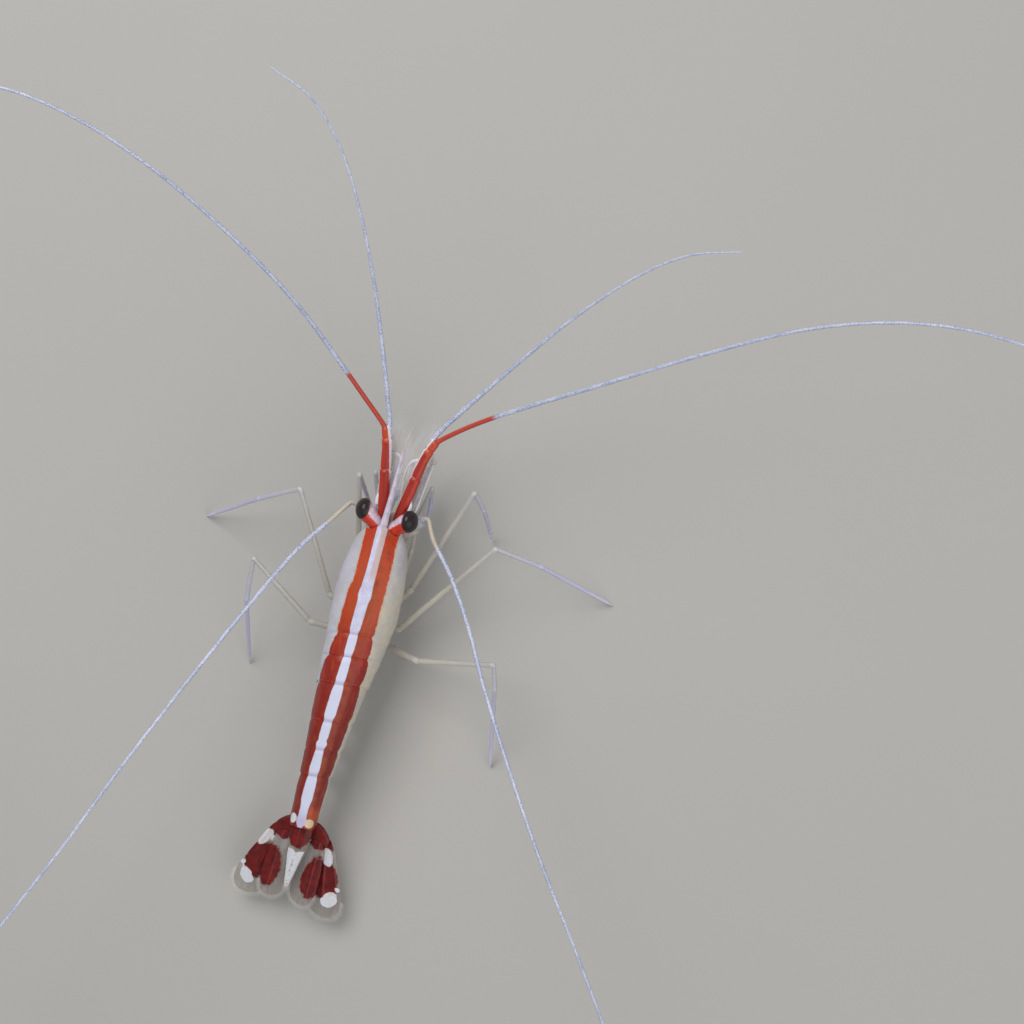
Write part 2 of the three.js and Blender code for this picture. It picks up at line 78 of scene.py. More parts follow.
def heading(path: Array) -> Array:
    """The direction of a path at each of its points."""
    return unit(np.gradient(path, axis=0))


def beside(edge: Array) -> Array:
    """The directions square to a flat edge, on the right as one goes along it."""
    step = heading(edge)
    return np.column_stack([step[:, 1], -step[:, 0]])


def turns(count: int) -> Array:
    """Angles evenly spaced round a circle."""
    return 2 * np.pi * np.arange(count) / count


def ease(value: Array, low: float, high: float) -> Array:
    """0 below low, 1 above high, and a smooth S between: 3 t squared - 2 t cubed."""
    t = np.clip((np.asarray(value, float) - low) / (high - low), 0, 1)
    return t * t * (3 - 2 * t)


def hill(value: Array, centre: float | Array, width: float) -> Array:
    """A bell curve: 1 at the centre, falling to 1/e at width from it."""
    return np.exp(-(((value - centre) / width) ** 2))


def through(knots: Knots, at: Array) -> Array:
    """Reads a smooth curve that passes through knots and never overshoots them.

    Between two knots the curve is a cubic whose end slopes are the harmonic mean of the slopes
    on either side of the knot, or 0 where those have opposite signs.

    Args:
        knots: Rows of a position and one or more values, in order of position.
        at: Positions to read at, of any shape.

    Returns:
        The values, with a last axis if the knots hold more than one.
    """
    table = np.asarray(knots, float)
    places, heights = table[:, 0], table[:, 1:]
    steps = np.diff(places)[:, None]
    slopes = np.diff(heights, axis=0) / steps
    before, after = slopes[:-1], slopes[1:]
    agree = before * after > 0
    mean = np.where(agree, 2 * before * after / np.where(agree, before + after, 1), 0)
    tangents = np.vstack([slopes[:1], mean, slopes[-1:]])
    at = np.asarray(at, float)
    k = np.clip(np.searchsorted(places, at) - 1, 0, len(places) - 2)
    t = np.clip((at - places[k]) / steps[k, 0], 0, 1)[..., None]
    value = heights[k] * (1 + 2 * t) * (1 - t) ** 2 + heights[k + 1] * t * t * (3 - 2 * t)
    value += steps[k] * t * (1 - t) * (tangents[k] * (1 - t) - tangents[k + 1] * t)
    return value[..., 0] if table.shape[1] == 2 else value


def lengths_along(path: Array) -> Array:
    """Distance from the start of a path to each of its points."""
    return np.concatenate([[0], np.cumsum(np.linalg.norm(np.diff(path, axis=0), axis=1))])


def respaced(path: Array, share: Array) -> Array:
    """Points of a path at the given shares of its length, on straight lines between its own."""
    reach = lengths_along(path)
    return np.stack([np.interp(share * reach[-1], reach, axis) for axis in path.T], -1)


def spline(points: Knots, share: Array, closed: bool = False) -> Array:
    """Reads a centripetal Catmull-Rom curve at shares of its length.

    Each stretch is a cubic between two points whose end slopes lean on the points beyond them,
    with the square root of each distance as its share of the parameter.

    Args:
        points: The points to pass through.
        share: Shares of the length, from 0 to 1.
        closed: Whether the curve comes back to its first point.

    Returns:
        One point for each share.
    """
    knots = np.asarray(points, float)
    ends = (knots[-1:], knots[:2]) if closed else (2 * knots[0] - knots[1], 2 * knots[-1] - knots[-2])
    knots = np.vstack([ends[0], knots, ends[1]])
    steps = np.diff(knots, axis=0)
    gaps = np.sqrt(np.linalg.norm(steps, axis=1))[:, None]
    before, middle, after = gaps[:-2], gaps[1:-1], gaps[2:]
    bend = knots[2:] - knots[:-2]
    slope = middle * (steps[:-2] / before - bend[:-1] / (before + middle)) + steps[1:-1]
    slope_after = middle * (steps[2:] / after - bend[1:] / (middle + after)) + steps[1:-1]
    t = np.linspace(0, 1, 24, endpoint=False)[:, None, None]
    start, end = knots[1:-2], knots[2:-1]
    fine = start * (1 + 2 * t) * (1 - t) ** 2 + end * t * t * (3 - 2 * t)
    fine += slope * t * (1 - t) ** 2 - slope_after * t * t * (1 - t)
    fine = np.vstack([fine.transpose(1, 0, 2).reshape(-1, knots.shape[1]), end[-1:]])
    return respaced(fine, share)


def softened(points: Knots, step: float, window: float) -> tuple[Array, Array]:
    """A bent line with its corners eased by a moving average.

    Args:
        points: The corners.
        step: Distance between samples.
        window: Length over which positions are averaged.

    Returns:
        The path, and the distance of each sample along the unsoftened line.
    """
    line = np.asarray(points, float)
    total = lengths_along(line)[-1]
    count = max(2, round(total / step))
    path = respaced(line, np.linspace(0, 1, count + 1))
    reach = max(1, round(window / step / 2))
    start = 2 * path[0] - path[reach:0:-1]
    end = 2 * path[-1] - path[-2:-reach - 2:-1]
    longer = np.vstack([start, path, end])
    kernel = np.hanning(2 * reach + 3)[1:-1]
    eased = [np.convolve(axis, kernel / kernel.sum(), mode="valid") for axis in longer.T]
    return np.stack(eased, -1), np.linspace(0, total, count + 1)


# ---------------- forms


class Ends(Enum):
    """How the first and last rows of a form that closes round its columns are shut."""

    FAN = "fan"
    STRIP = "strip"


@dataclass
class Form:
    """A mesh in the making: points in millimetres, faces, and named values at the points."""

    points: Array
    quads: Array
    tris: Array
    values: dict[str, Array] = field(default_factory=dict)

    def outward(self) -> "Form":
        """Turns every face over if the signed volume says that they point inwards."""
        corners = np.vstack([self.quads[:, :3], self.quads[:, [0, 2, 3]], self.tris])
        a, b, c = (self.points[corners[:, i]] - self.points[0] for i in range(3))
        if np.einsum("ij,ij->", a, np.cross(b, c)) < 0:
            self.quads, self.tris = self.quads[:, ::-1], self.tris[:, ::-1]
        return self


def joined(forms: Sequence[Form]) -> Form:
    """One form of several; a value that a form lacks is 0 there."""
    starts = np.cumsum([0] + [len(form.points) for form in forms])
    names = sorted({name for form in forms for name in form.values})
    return Form(
        np.vstack([form.points for form in forms]),
        np.vstack([form.quads + start for form, start in zip(forms, starts)]),
        np.vstack([form.tris + start for form, start in zip(forms, starts)]),
        {
            name: np.concatenate([f.values.get(name, np.zeros(len(f.points))) for f in forms])
            for name in names
        },
    )


def woven(grid: Array, ends: Ends = Ends.FAN, **values: Array) -> Form:
    """A closed skin over a grid of points, whose columns run round it.

    Four neighbours make a face and the last column meets the first. FAN closes each end round
    its middle. STRIP joins the halves of each end row, for a row that goes out and comes back.

    Args:
        grid: Points of rows by columns.
        ends: How the first and last rows are shut.
        **values: A value of each name at each point of the grid, or one for all.

    Returns:
        The form, its faces pointing out.
    """
    rows, columns = grid.shape[:2]
    here = np.arange(rows * columns).reshape(rows, columns)
    beyond = np.roll(here, -1, axis=1)
    quads = np.stack([here[:-1], beyond[:-1], beyond[1:], here[1:]], -1).reshape(-1, 4)
    points, tris = grid.reshape(-1, 3), np.zeros((0, 3), int)
    spread = {name: np.broadcast_to(value, (rows, columns)) for name, value in values.items()}
    flat = {name: value.reshape(-1) for name, value in spread.items()}
    if ends is Ends.FAN:
        points = np.vstack([points, grid[0].mean(0), grid[-1].mean(0)])
        first = np.stack([beyond[0], here[0], np.full(columns, rows * columns)], -1)
        last = np.stack([here[-1], beyond[-1], np.full(columns, rows * columns + 1)], -1)
        tris = np.vstack([first, last])
        for name, value in spread.items():
            flat[name] = np.concatenate([flat[name], [value[0].mean(), value[-1].mean()]])
    else:
        out = np.arange(columns // 2 - 1)
        back = columns - 1 - out
        strip = [here[0, out + 1], here[0, out], here[0, back], here[0, back - 1]]
        tail = [here[-1, out], here[-1, out + 1], here[-1, back - 1], here[-1, back]]
        quads = np.vstack([quads, np.stack(strip, -1), np.stack(tail, -1)])
    return Form(points, quads, tris, flat).outward()


def plated(outer: Array, thickness: float, **values: Array) -> Form:
    """A closed plate: the outer grid, one a thickness inside it, and rims between them.

    The inward direction at a point is the cross product of the grid's two slopes there.
    """
    normal = unit(np.cross(np.gradient(outer, axis=0), np.gradient(outer, axis=1)))
    outwards = np.sign(np.einsum("ijk,ijk->", normal, outer - outer.mean(1, keepdims=True)))
    inner = outer - thickness * outwards * normal
    both = {name: np.concatenate([v, v[:, ::-1]], axis=1) for name, v in values.items()}
    return woven(np.concatenate([outer, inner[:, ::-1]], axis=1), Ends.STRIP, **both)


def ringed(
    path: Array, radii: Array, sides: int, flat: float = 1.0, up: Array | None = None,
    along: Array | None = None,
) -> Array:
    """Rings of an oval section: across * cos + upward * sin * flat, times the radius.

    Args:
        path: Points of the middle line.
        radii: Radius at each point.
        sides: Points in a ring.
        flat: Height of the section as a share of its width.
        up: A direction that upward stays close to; without it, where the path spreads least.
        along: What the rings are square to; without it, the path.

    Returns:
        A grid of points by sides.
    """
    along = heading(path) if along is None else np.broadcast_to(along, path.shape)
    upward = squared(np.linalg.svd(path - path.mean(0))[2][-1] if up is None else up, along)
    angle = turns(sides)[:, None]
    ring = np.cross(along, upward)[:, None] * np.cos(angle) + upward[:, None] * np.sin(angle) * flat
    return path[:, None] + np.asarray(radii)[:, None, None] * ring


def domed(radii: Array, reach: Array) -> Array:
    """Radii that round off at both ends, as a half circle does.

    At a distance d from an end, closer than the radius r there, they are times
    sqrt(1 - (1 - d / r) squared).
    """
    for distance, size in ((reach - reach[0], radii[0]), (reach[-1] - reach, radii[-1])):
        near = np.clip(distance / size, 0, 1)
        radii = radii * np.sqrt(np.maximum(1 - (1 - near) ** 2, 0.003))
    return radii


def lobe(
    path: Knots, radii: Sequence[float], flat: float = 1.0, up: Array | None = None,
    values: dict[str, float] | None = None,
) -> Form:
    """A rounded lobe: oval rings along a smooth curve through a few points, domed at both ends.

    Args:
        path: The points.
        radii: Radii evenly spaced along the curve.
        flat: Height of the section as a share of its width.
        up: The direction of that height.
        values: Values for all its points, in place of a limb's reach, joint and round_y.

    Returns:
        The lobe.
    """
    share = 0.5 - 0.5 * np.cos(np.pi * np.linspace(0, 1, 34))
    line = spline(path, share)
    reach = lengths_along(line)
    knots = np.column_stack([np.linspace(0, reach[-1], len(radii)), radii])
    grid = ringed(line, domed(through(knots, reach), reach), 20, flat, up)
    own = {"reach": share[:, None], "joint": 0.0, "round_y": np.sin(turns(20))}
    return woven(grid, **(values or own))


@dataclass(frozen=True)
class Plane:
    """A flat frame for a blade: u across it, v along it and w up from it."""

    origin: Point
    across: Point
    along: Point

    def lean(self, u: Array, v: Array, w: Array | float = 0.0) -> Array:
        """Directions of the animal's frame for steps of u, v and w."""
        across, along = unit(np.array(self.across)), unit(np.array(self.along))
        axes = across, along, np.cross(across, along)
        return sum(np.multiply.outer(np.broadcast_to(p, np.shape(u)), a) for p, a in zip((u, v, w), axes))

    def place(self, u: Array, v: Array, w: Array | float = 0.0) -> Array:
        """Points of the animal's frame at u, v and w."""
        return np.array(self.origin) + self.lean(u, v, w)


def leaf(
    plane: Plane, outline: Array, thickness: float, relief: Callable[[Array, Array], Array],
    rings: int = 22,
) -> Form:
    """A thin blade: its outline drawn in towards its middle ring by ring, above and below.

    The half thickness at a share r of the way out is thickness / 2 * sqrt(1 - r to the sixth),
    added above and below the relief.

    Args:
        plane: Where the blade lies.
        outline: Points round its edge, in the plane.
        thickness: Thickness at the middle.
        relief: Height of the blade's mid surface at u and v.
        rings: Rings from the middle to the edge.

    Returns:
        The blade, with values u, v and rim, which is the share of the way in from the edge.
    """
    out = np.sin(np.linspace(0.03, np.pi / 2, rings))
    share = np.concatenate([out, out[::-1]])[:, None]
    face = np.concatenate([np.ones(rings), -np.ones(rings)])[:, None]
    middle = outline.mean(0)
    u, v = (middle[i] + share * (outline[:, i] - middle[i]) for i in range(2))
    half = 0.5 * thickness * np.sqrt(np.maximum(1 - share**6, 0.02))
    grid = plane.place(u, v, relief(u, v) + face * half)
    return woven(grid, u=u, v=v, rim=1 - share + 0 * u)


def bristles(
    roots: Array, pointing: Array, lengths: Array, radius: float, curl: Array,
    patch: Array | None = None, **values: float,
) -> Form:
    """Many fine hairs or spines, each a three-sided cone of two rings and a tip.

    A point at share t of a hair lies at root + pointing * length * t + curl * length * t squared.

    Args:
        roots: Where the hairs stand.
        pointing: Their directions.
        lengths: Their lengths.
        radius: Radius at the root.
        curl: Sideways lean of each tip, as a share of the length.
        patch: Place of each root on the unwrap of the skin, from 0 to 1, if it is hair.
        **values: One value of each name for all points.

    Returns:
        The hairs as one form, with the value tip, and patch_u and patch_v if it is hair.
    """
    pointing = unit(pointing)
    across = unit(np.cross(pointing, np.array([0.31, 0.17, 0.94])))
    angle = turns(3)[:, None]
    ring = across[:, None] * np.cos(angle) + np.cross(pointing, across)[:, None] * np.sin(angle)
    reach = lengths[:, None]
    spine = [(roots + (pointing * t + curl * t * t) * reach)[:, None] for t in (0, 0.55, 1)]
    points = np.concatenate([spine[0] + radius * ring, spine[1] + 0.6 * radius * ring, spine[2]], 1)
    side = np.arange(3)
    after = (side + 1) % 3
    quads = np.stack([side, after, after + 3, side + 3], -1)
    tris = np.vstack([np.stack([side + 3, after + 3, np.full(3, 6)], -1), [[0, 2, 1]]])
    starts = 7 * np.arange(len(roots))[:, None, None]
    level = np.repeat([0, 0.55, 1], [3, 3, 1])
    held = {name: np.full(7 * len(roots), value) for name, value in values.items()}
    held["tip"] = np.tile(level, len(roots))
    if patch is not None:
        size = 0.003
        held["patch_u"] = (patch[:, :1] + size * (np.array([0, 0.5, 1, 0, 0.5, 1, 0.5]) - 0.5)).ravel()
        held["patch_v"] = (patch[:, 1:] + size * (level - 0.5)).ravel()
    quads, tris = (quads + starts).reshape(-1, 4), (tris + starts).reshape(-1, 3)
    return Form(points.reshape(-1, 3), quads, tris, held).outward()


# ---------------- pieces in the scene


@dataclass(frozen=True)
class Space:
    """Where the animal's own frame lies in the CAD frame, in millimetres."""

    shift: Point

    @classmethod
    def of_frame(cls, carapace_rear: float) -> "Space":
        """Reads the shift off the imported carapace, which is even about the midline.

        Args:
            carapace_rear: y of the carapace's rear edge in the animal's frame.

        Returns:
            The space.
        """
        low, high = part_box("carapace")
        return cls(((low.x + high.x) / 2 / MM, high.y / MM - carapace_rear, 0.0))

    def world(self, points: Array) -> Array:
        """Points of the animal's frame as metres in the CAD frame."""
        return (np.asarray(points, float) + np.array(self.shift)) * MM


SPACE = Space.of_frame(carapace_rear=6.8)
COAT_MAP = "OFBake"
SHARP = math.radians(55)


def make_mesh(name: str, form: Form) -> bpy.types.Mesh:
    """Puts a form's points, faces and values into a mesh, in metres."""
    mesh = bpy.data.meshes.new(name)
    faces = form.quads.tolist() + form.tris.tolist()
    mesh.from_pydata(SPACE.world(form.points), [], faces, shade_flat=False)
    corners = np.concatenate([form.quads.ravel(), form.tris.ravel()])
    if "patch_u" in form.values:
        unwrap = np.stack([form.values.pop("patch_u"), form.values.pop("patch_v")], -1)
        layer = mesh.uv_layers.new(name=COAT_MAP)
        layer.data.foreach_set("uv", unwrap[corners].astype(np.float32).ravel())
    for key, value in form.values.items():
        attribute = mesh.attributes.new(key, "FLOAT", "POINT")
        attribute.data.foreach_set("value", value.astype(np.float32))
    mesh.shade_smooth()
    mesh.set_sharp_from_angle(angle=SHARP)
    return mesh


def make_object(name: str, form: Form, material: bpy.types.Material) -> bpy.types.Object:
    """Makes an object of a form in the scene."""
    piece = bpy.data.objects.new(name, make_mesh(name, form))
    piece.data.materials.append(material)
    bpy.context.scene.collection.objects.link(piece)
    return piece


def make_piece(name: str, form: Form, material: bpy.types.Material, slot: str, *nodes: str) -> None:
    """Makes a piece that rides on the root body and stands for CAD nodes.

    Args:
        name: The piece's name.
        form: Its shape.
        material: Its finish.
        slot: Not used.
        *nodes: The CAD nodes that it replaces.
    """
    piece = make_object(name, form, material)
    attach(piece, "root")
    if nodes:
        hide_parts(*nodes)
    LOG.info("%-28s %7d triangles", name, 2 * len(form.quads) + len(form.tris))


# ---------------- shader arithmetic


def srgb(red: float, green: float, blue: float) -> Colour:
    """A colour given as it looks on a screen, 0 to 255, as the linear one that shaders use."""
    parts = (part / 255 for part in (red, green, blue))
    linear = [p / 12.92 if p <= 0.04045 else ((p + 0.055) / 1.055) ** 2.4 for p in parts]
    return (linear[0], linear[1], linear[2], 1.0)


class Wire:
    """A shader socket that takes part in Python arithmetic: each operator adds a Math node."""

    def __init__(self, paint: "Paint", socket: bpy.types.NodeSocket) -> None:
        """Wraps an output socket of one of the paint's nodes."""
        self.paint = paint
        self.socket = socket

    def math(self, operation: str, *others: "Wire | float") -> "Wire":
        """This value and others through one Math node."""
        return self.paint.node("Math", {"operation": operation}, self, *others)

    def __add__(self, other: "Wire | float") -> "Wire":
        """The sum."""
        return self.math("ADD", other)

    def __sub__(self, other: "Wire | float") -> "Wire":
        """The difference."""
        return self.math("SUBTRACT", other)

    def __rsub__(self, other: float) -> "Wire":
        """A number less this value."""
        return self.paint.node("Math", {"operation": "SUBTRACT"}, other, self)

    def __mul__(self, other: "Wire | float") -> "Wire":
        """The product."""
        return self.math("MULTIPLY", other)

    def __pow__(self, other: float) -> "Wire":
        """The power."""
        return self.math("POWER", other)

    def most(self, other: "Wire | float") -> "Wire":
        """The larger of two values."""
        return self.math("MAXIMUM", other)

    def least(self, other: "Wire | float") -> "Wire":
        """The smaller of two values."""
        return self.math("MINIMUM", other)

    def size(self) -> "Wire":
        """The value without its sign."""
        return self.math("ABSOLUTE")

    def step(self, low: float, high: float) -> "Wire":
        """0 at low, 1 at high, and a smooth S between."""
        return self.paint.node("MapRange", {"interpolation_type": "SMOOTHSTEP"}, self, low, high)

    def bell(self, centre: float, width: float) -> "Wire":
        """1 at the centre, falling smoothly to 0 at width on either side."""
        return (self - centre).size().step(width, 0.0)

    def noise(self, scale: float, detail: float = 2.0) -> "Wire":
        """Soft noise at a place, from 0 to 1, mostly near 0.5, scale bumps to the millimetre."""
        return self.paint.node("TexNoise", None, Vector=self, Scale=scale, Detail=detail)

    def cells(self, scale: float, feature: str = "F1") -> "Wire":
        """Distance to the nearest of scattered points, or to the edges between their cells."""
        kind = {"feature": feature}
        return self.paint.node("TexVoronoi", kind, Vector=self, Scale=scale, out="Distance")

    def dots(self, scale: float, outer: float, inner: float) -> "Wire":
        """Scattered round dots: 0 outside the outer radius and 1 within the inner one."""
        return self.cells(scale).step(outer, inner)


class Paint:
    """A material in the making: its node tree and the ways to add to it."""

    def __init__(self, name: str) -> None:
        """Starts an empty material of that name."""
        self.material = bpy.data.materials.new(name)
        self.material.use_nodes = True
        self.tree = self.material.node_tree
        self.tree.nodes.clear()

    def node(
        self, kind: str, settings: dict | None = None, *inputs: "Wire | float | Colour | None",
        out: int | str = 0, **named: "Wire | float | Colour",
    ) -> Wire:
        """Adds one node.

        Args:
            kind: The node's type, after ShaderNode.
            settings: Its settings, which are set first; stops are those of a colour ramp.
            *inputs: Values or links of its first sockets in order; None leaves one alone.
            out: The output socket that is returned.
            **named: Values or links by socket name, with _ for a space.

        Returns:
            The output.
        """
        made = self.tree.nodes.new("ShaderNode" + kind)
        for key, value in (settings or {}).items():
            if key == "stops":
                self._set_stops(made.color_ramp, value)
            else:
                setattr(made, key, value)
        pairs = list(enumerate(inputs))
        pairs += [(key.replace("_", " "), value) for key, value in named.items()]
        for key, value in pairs:
            if isinstance(value, Wire):
                self.tree.links.new(value.socket, made.inputs[key])
            elif value is not None:
                made.inputs[key].default_value = value
        return Wire(self, made.outputs[out])

    @staticmethod
    def _set_stops(ramp: bpy.types.ColorRamp, stops: Sequence[tuple[float, Colour]]) -> None:
        """Gives a colour ramp its stops."""
        while len(ramp.elements) < len(stops):
            ramp.elements.new(1.0)
        for element, (position, colour) in zip(ramp.elements, stops):
            element.position, element.color = position, colour

    def values(self, *names: str) -> list[Wire]:
        """The piece's own values of those names."""
        return [self.node("Attribute", {"attribute_name": name}, out="Fac") for name in names]

    def place(self, *stretch: float) -> Wire:
        """Object coordinates in millimetres, each times its stretch if one is given."""
        metres = self.node("TexCoord", out="Object")
        scale = tuple(part / MM for part in stretch or (1, 1, 1))
        return self.node("VectorMath", {"operation": "MULTIPLY"}, metres, scale)

    def spot(self, *parts: "Wire | float") -> Wire:
        """A vector of up to three values."""
        return self.node("CombineXYZ", None, *parts)

    def over(self, colour: "Wire | Colour", *layers: tuple["Wire | float", "Wire | Colour"]) -> Wire:
        """A colour with others laid over it in order, each by its share."""
        for share, layer in layers:
            blank = [None] * 5
            colour = self.node("Mix", {"data_type": "RGBA"}, share, *blank, colour, layer, out=2)
        return colour

    def ramp(self, value: Wire, stops: Sequence[tuple[float, Colour]]) -> Wire:
        """A colour that changes with a value, whose stops are in order of the value."""
        low, high = stops[0][0], stops[-1][0]
        share = self.node("MapRange", None, value, low, high)
        placed = [((at - low) / (high - low), colour) for at, colour in stops]
        return self.node("ValToRGB", {"stops": placed}, share)

    def bump(self, height: Wire, depth: float, under: Wire | None = None) -> Wire:
        """A normal bent by a height of 0 to 1, depth millimetres deep, over another."""
        settings = {"Strength": 1.0, "Distance": depth * MM, "Height": height}
        if under is not None:
            settings["Normal"] = under
        return self.node("Bump", None, **settings)

    def finished(self, sockets: "Sockets") -> bpy.types.Material:
        """Ends the paint with its surface shader and returns the material."""
        surface = self.node("BsdfPrincipled", None, **sockets)
        end = self.tree.nodes.new("ShaderNodeOutputMaterial")
        self.tree.links.new(surface.socket, end.inputs["Surface"])
        return self.material


Sockets = dict[str, Wire | float | Colour]


# ---------------- finishes


def coat(weight: float, roughness: float) -> Sockets:
    """The sockets of a clear coat."""
    return {"Coat_Weight": weight, "Coat_Roughness": roughness}


def depth(weight: float, radius: Point, scale: float) -> Sockets:
    """The sockets of light under a surface: its share, its reach by colour and their millimetres."""
    return {"Subsurface_Weight": weight, "Subsurface_Radius": radius, "Subsurface_Scale": scale * MM}


class Finish:
    """A finish, which names its material and paints its surface."""

    name: str

    def material(self) -> bpy.types.Material:
        """Builds the finish's material."""
        paint = Paint(self.name)
        return paint.finished(self.surface(paint))

    def surface(self, paint: Paint) -> Sockets:
        """What goes into the surface shader, by the names of its sockets."""
        raise NotImplementedError


@dataclass(frozen=True)
class ShellFinish(Finish):
    """Clear shell over milky flesh, with a white stripe between two red bands in it.

    The values stripe and band are distances in millimetres inside the stripe and inside the
    bands' outer edge, along is y, seam the distance to the nearest joint, side the place
    across, positive to the left, and hem the share of the way down to a plate's edge.
    """

    name: str = "banded_shell"
    reds: tuple = (
        (-6.0, srgb(190, 50, 22)), (-1.0, srgb(186, 68, 28)), (4.0, srgb(178, 66, 28)),
        (7.4, srgb(158, 42, 24)), (12.0, srgb(140, 28, 18)), (20.0, srgb(128, 22, 17)),
        (30.0, srgb(122, 20, 18)),
    )
    rust: Colour = srgb(150, 66, 20)
    orange: Colour = srgb(208, 92, 44)
    maroon: Colour = srgb(104, 22, 14)
    stain: Colour = srgb(112, 26, 16)
    gold: Colour = srgb(206, 152, 70)
    white: Colour = srgb(212, 211, 230)
    lilac: Colour = srgb(184, 172, 200)
    rosy: Colour = srgb(200, 172, 166)
    cream: Colour = srgb(226, 194, 148)
    chalk: Colour = srgb(228, 226, 222)
    pepper: Colour = srgb(134, 98, 104)
    milk: Colour = srgb(222, 217, 230)
    grey: Colour = srgb(208, 203, 206)
    organ_cream_and_light: Colour = srgb(236, 220, 188)
    frost: Colour = srgb(240, 238, 242)

    def surface(self, paint: Paint) -> Sockets:
        """A milky flank, the red bands over it and the white stripe over both."""
        at = paint.place()
        along, seam, side, hem = paint.values("along", "seam", "side", "hem")
        stripe_edge, band_edge = paint.values("stripe", "band")
        cloud, broad = at.noise(1.1, 4), at.noise(0.32)
        ragged = (at.noise(2.4, 4) - 0.5) * 0.42
        stripe_edge, band_edge = stripe_edge + ragged * 0.22, band_edge + ragged
        stripe, band = stripe_edge.step(-0.06, 0.05), band_edge.step(-0.1, 0.08)
        front = along.step(7.6, 6.4)

        rusty = side.step(0.4, -0.4) * 0.55 + 0.3
        inner = stripe_edge.step(-1.5, -0.1) * cloud.step(0.3, 0.6) * rusty
        streaks = paint.place(1.6, 0.5, 1.6).noise(1.0, 3).step(0.5, 0.72)
        joint = seam.step(0.16, 0.02) * cloud.step(0.4, 0.6)
        fleck = at.dots(1.4, 0.24, 0.08) * cloud.step(0.5, 0.62)
        stain = along.bell(-3.2, 0.8) * side.bell(-1.5, 0.5) + along.bell(0.2, 0.5) * side.bell(-1.0, 0.3)
        glow = along.bell(28.6, 1.3) * side.step(-0.45, -0.8)
        red = paint.over(
            paint.ramp(along, self.reds), (inner, self.rust), (streaks * 0.22, self.orange),
            (joint * 0.35, self.orange), (fleck * 0.5, self.maroon),
            (stain * cloud.step(0.3, 0.5) * 0.6, self.stain), (glow * 0.5, self.orange),
        )

        # Lilac over the white stripe: painted shade at the joints and towards the tail end, and the
        # stripe's own lilac clouding on the carapace.
        lilac_and_painted_shade = (seam.step(0.4, 0.03) * 0.6).most(front * cloud.step(0.3, 0.7) * 0.55)
        lilac_and_painted_shade = lilac_and_painted_shade.most(along.step(27.6, 30.2) * 0.8)
        dull = (side + ragged * 0.3).step(0.22, -0.08) * along.step(0.9, -0.9)
        dull = dull * (along.step(-7.6, -5.8) * 0.5 + 0.35)
        right_end = along.step(28.8, 29.5) * side.step(-0.3, -0.8)
        left_end = along.step(28.6, 29.2) * side.step(0.5, 0.9)
        pepper = at.dots(5.0, 0.26, 0.12) * (along.bell(1.4, 2.2) * 0.7 + front * 0.12)
        white = paint.over(
            self.white, (lilac_and_painted_shade, self.lilac), (dull, self.rosy), (right_end * 0.9, self.cream),
            (left_end * 0.8, self.chalk), (pepper, self.pepper),
        )

        # Warmer, brighter cream on the right flank: partly the warm organs seen through the shell, partly
        # painted light on the side that the key light leaves in shade.
        warm_organs_and_painted_light = side.step(0.5, -2.2) * (broad.step(0.34, 0.6) * 0.5 + 0.5)
        warm_organs_and_painted_light = warm_organs_and_painted_light * (along.step(-3.0, 3.0) * 0.7 + 0.3)
        vein = paint.place(0.5, 1.6, 0.7).noise(1.3, 4).step(0.5, 0.66)
        flank = paint.over(
            self.grey, (broad.step(0.25, 0.75), self.milk), (warm_organs_and_painted_light * 0.8, self.organ_cream_and_light),
            (vein * 0.2, self.frost), (hem.step(0.84, 0.97) * 0.6, self.gold),
        )
        fray = band_edge.bell(-0.06, 0.24) * front * 0.25
        colour = paint.over(flank, (band, red), (fray, self.gold), (stripe, white))
        alpha = (stripe.most(band) + 0.62 + cloud * 0.2).least(1.0)
        grain = paint.place(3.0, 0.5, 3.0).noise(3.0, 3)
        normal = paint.bump(at.cells(9.0), 0.006, paint.bump(grain, 0.02))
        return dict(
            Base_Color=colour, Roughness=cloud * 0.2 + 0.34, Alpha=alpha, Normal=normal, IOR=1.42,
            Specular_IOR_Level=0.4, **coat(0.22, 0.2), **depth(0.2, (1.0, 0.45, 0.35), 0.6),
        )


@dataclass(frozen=True)
class FleshFinish(Finish):
    """Milky flesh seen through the shell: organs in the head, banded muscle behind."""

    name: str = "milky_flesh"
    organs: tuple = (
        (-6.0, srgb(214, 200, 190)), (-3.0, srgb(206, 190, 170)), (0.0, srgb(222, 212, 188)),
        (4.5, srgb(226, 218, 198)), (8.0, srgb(222, 214, 208)), (30.0, srgb(216, 204, 198)),
    )
    pink: Colour = srgb(220, 176, 166)

    def surface(self, paint: Paint) -> Sockets:
        """The organs' colours along the body, with pink muscle across them."""
        (along,) = paint.values("along")
        muscle = paint.place(0.4, 2.0, 0.4).noise(0.9, 3)
        clot = paint.place().noise(0.6, 3)
        organs = paint.ramp(along + (clot - 0.5) * 3.0, self.organs)
        colour = paint.over(organs, (muscle.step(0.45, 0.75) * 0.25, self.pink))
        return dict(
            Base_Color=colour, Roughness=clot * 0.2 + 0.35, Normal=paint.bump(muscle, 0.05),
            **depth(0.45, (1.0, 0.5, 0.35), 1.2),
        )


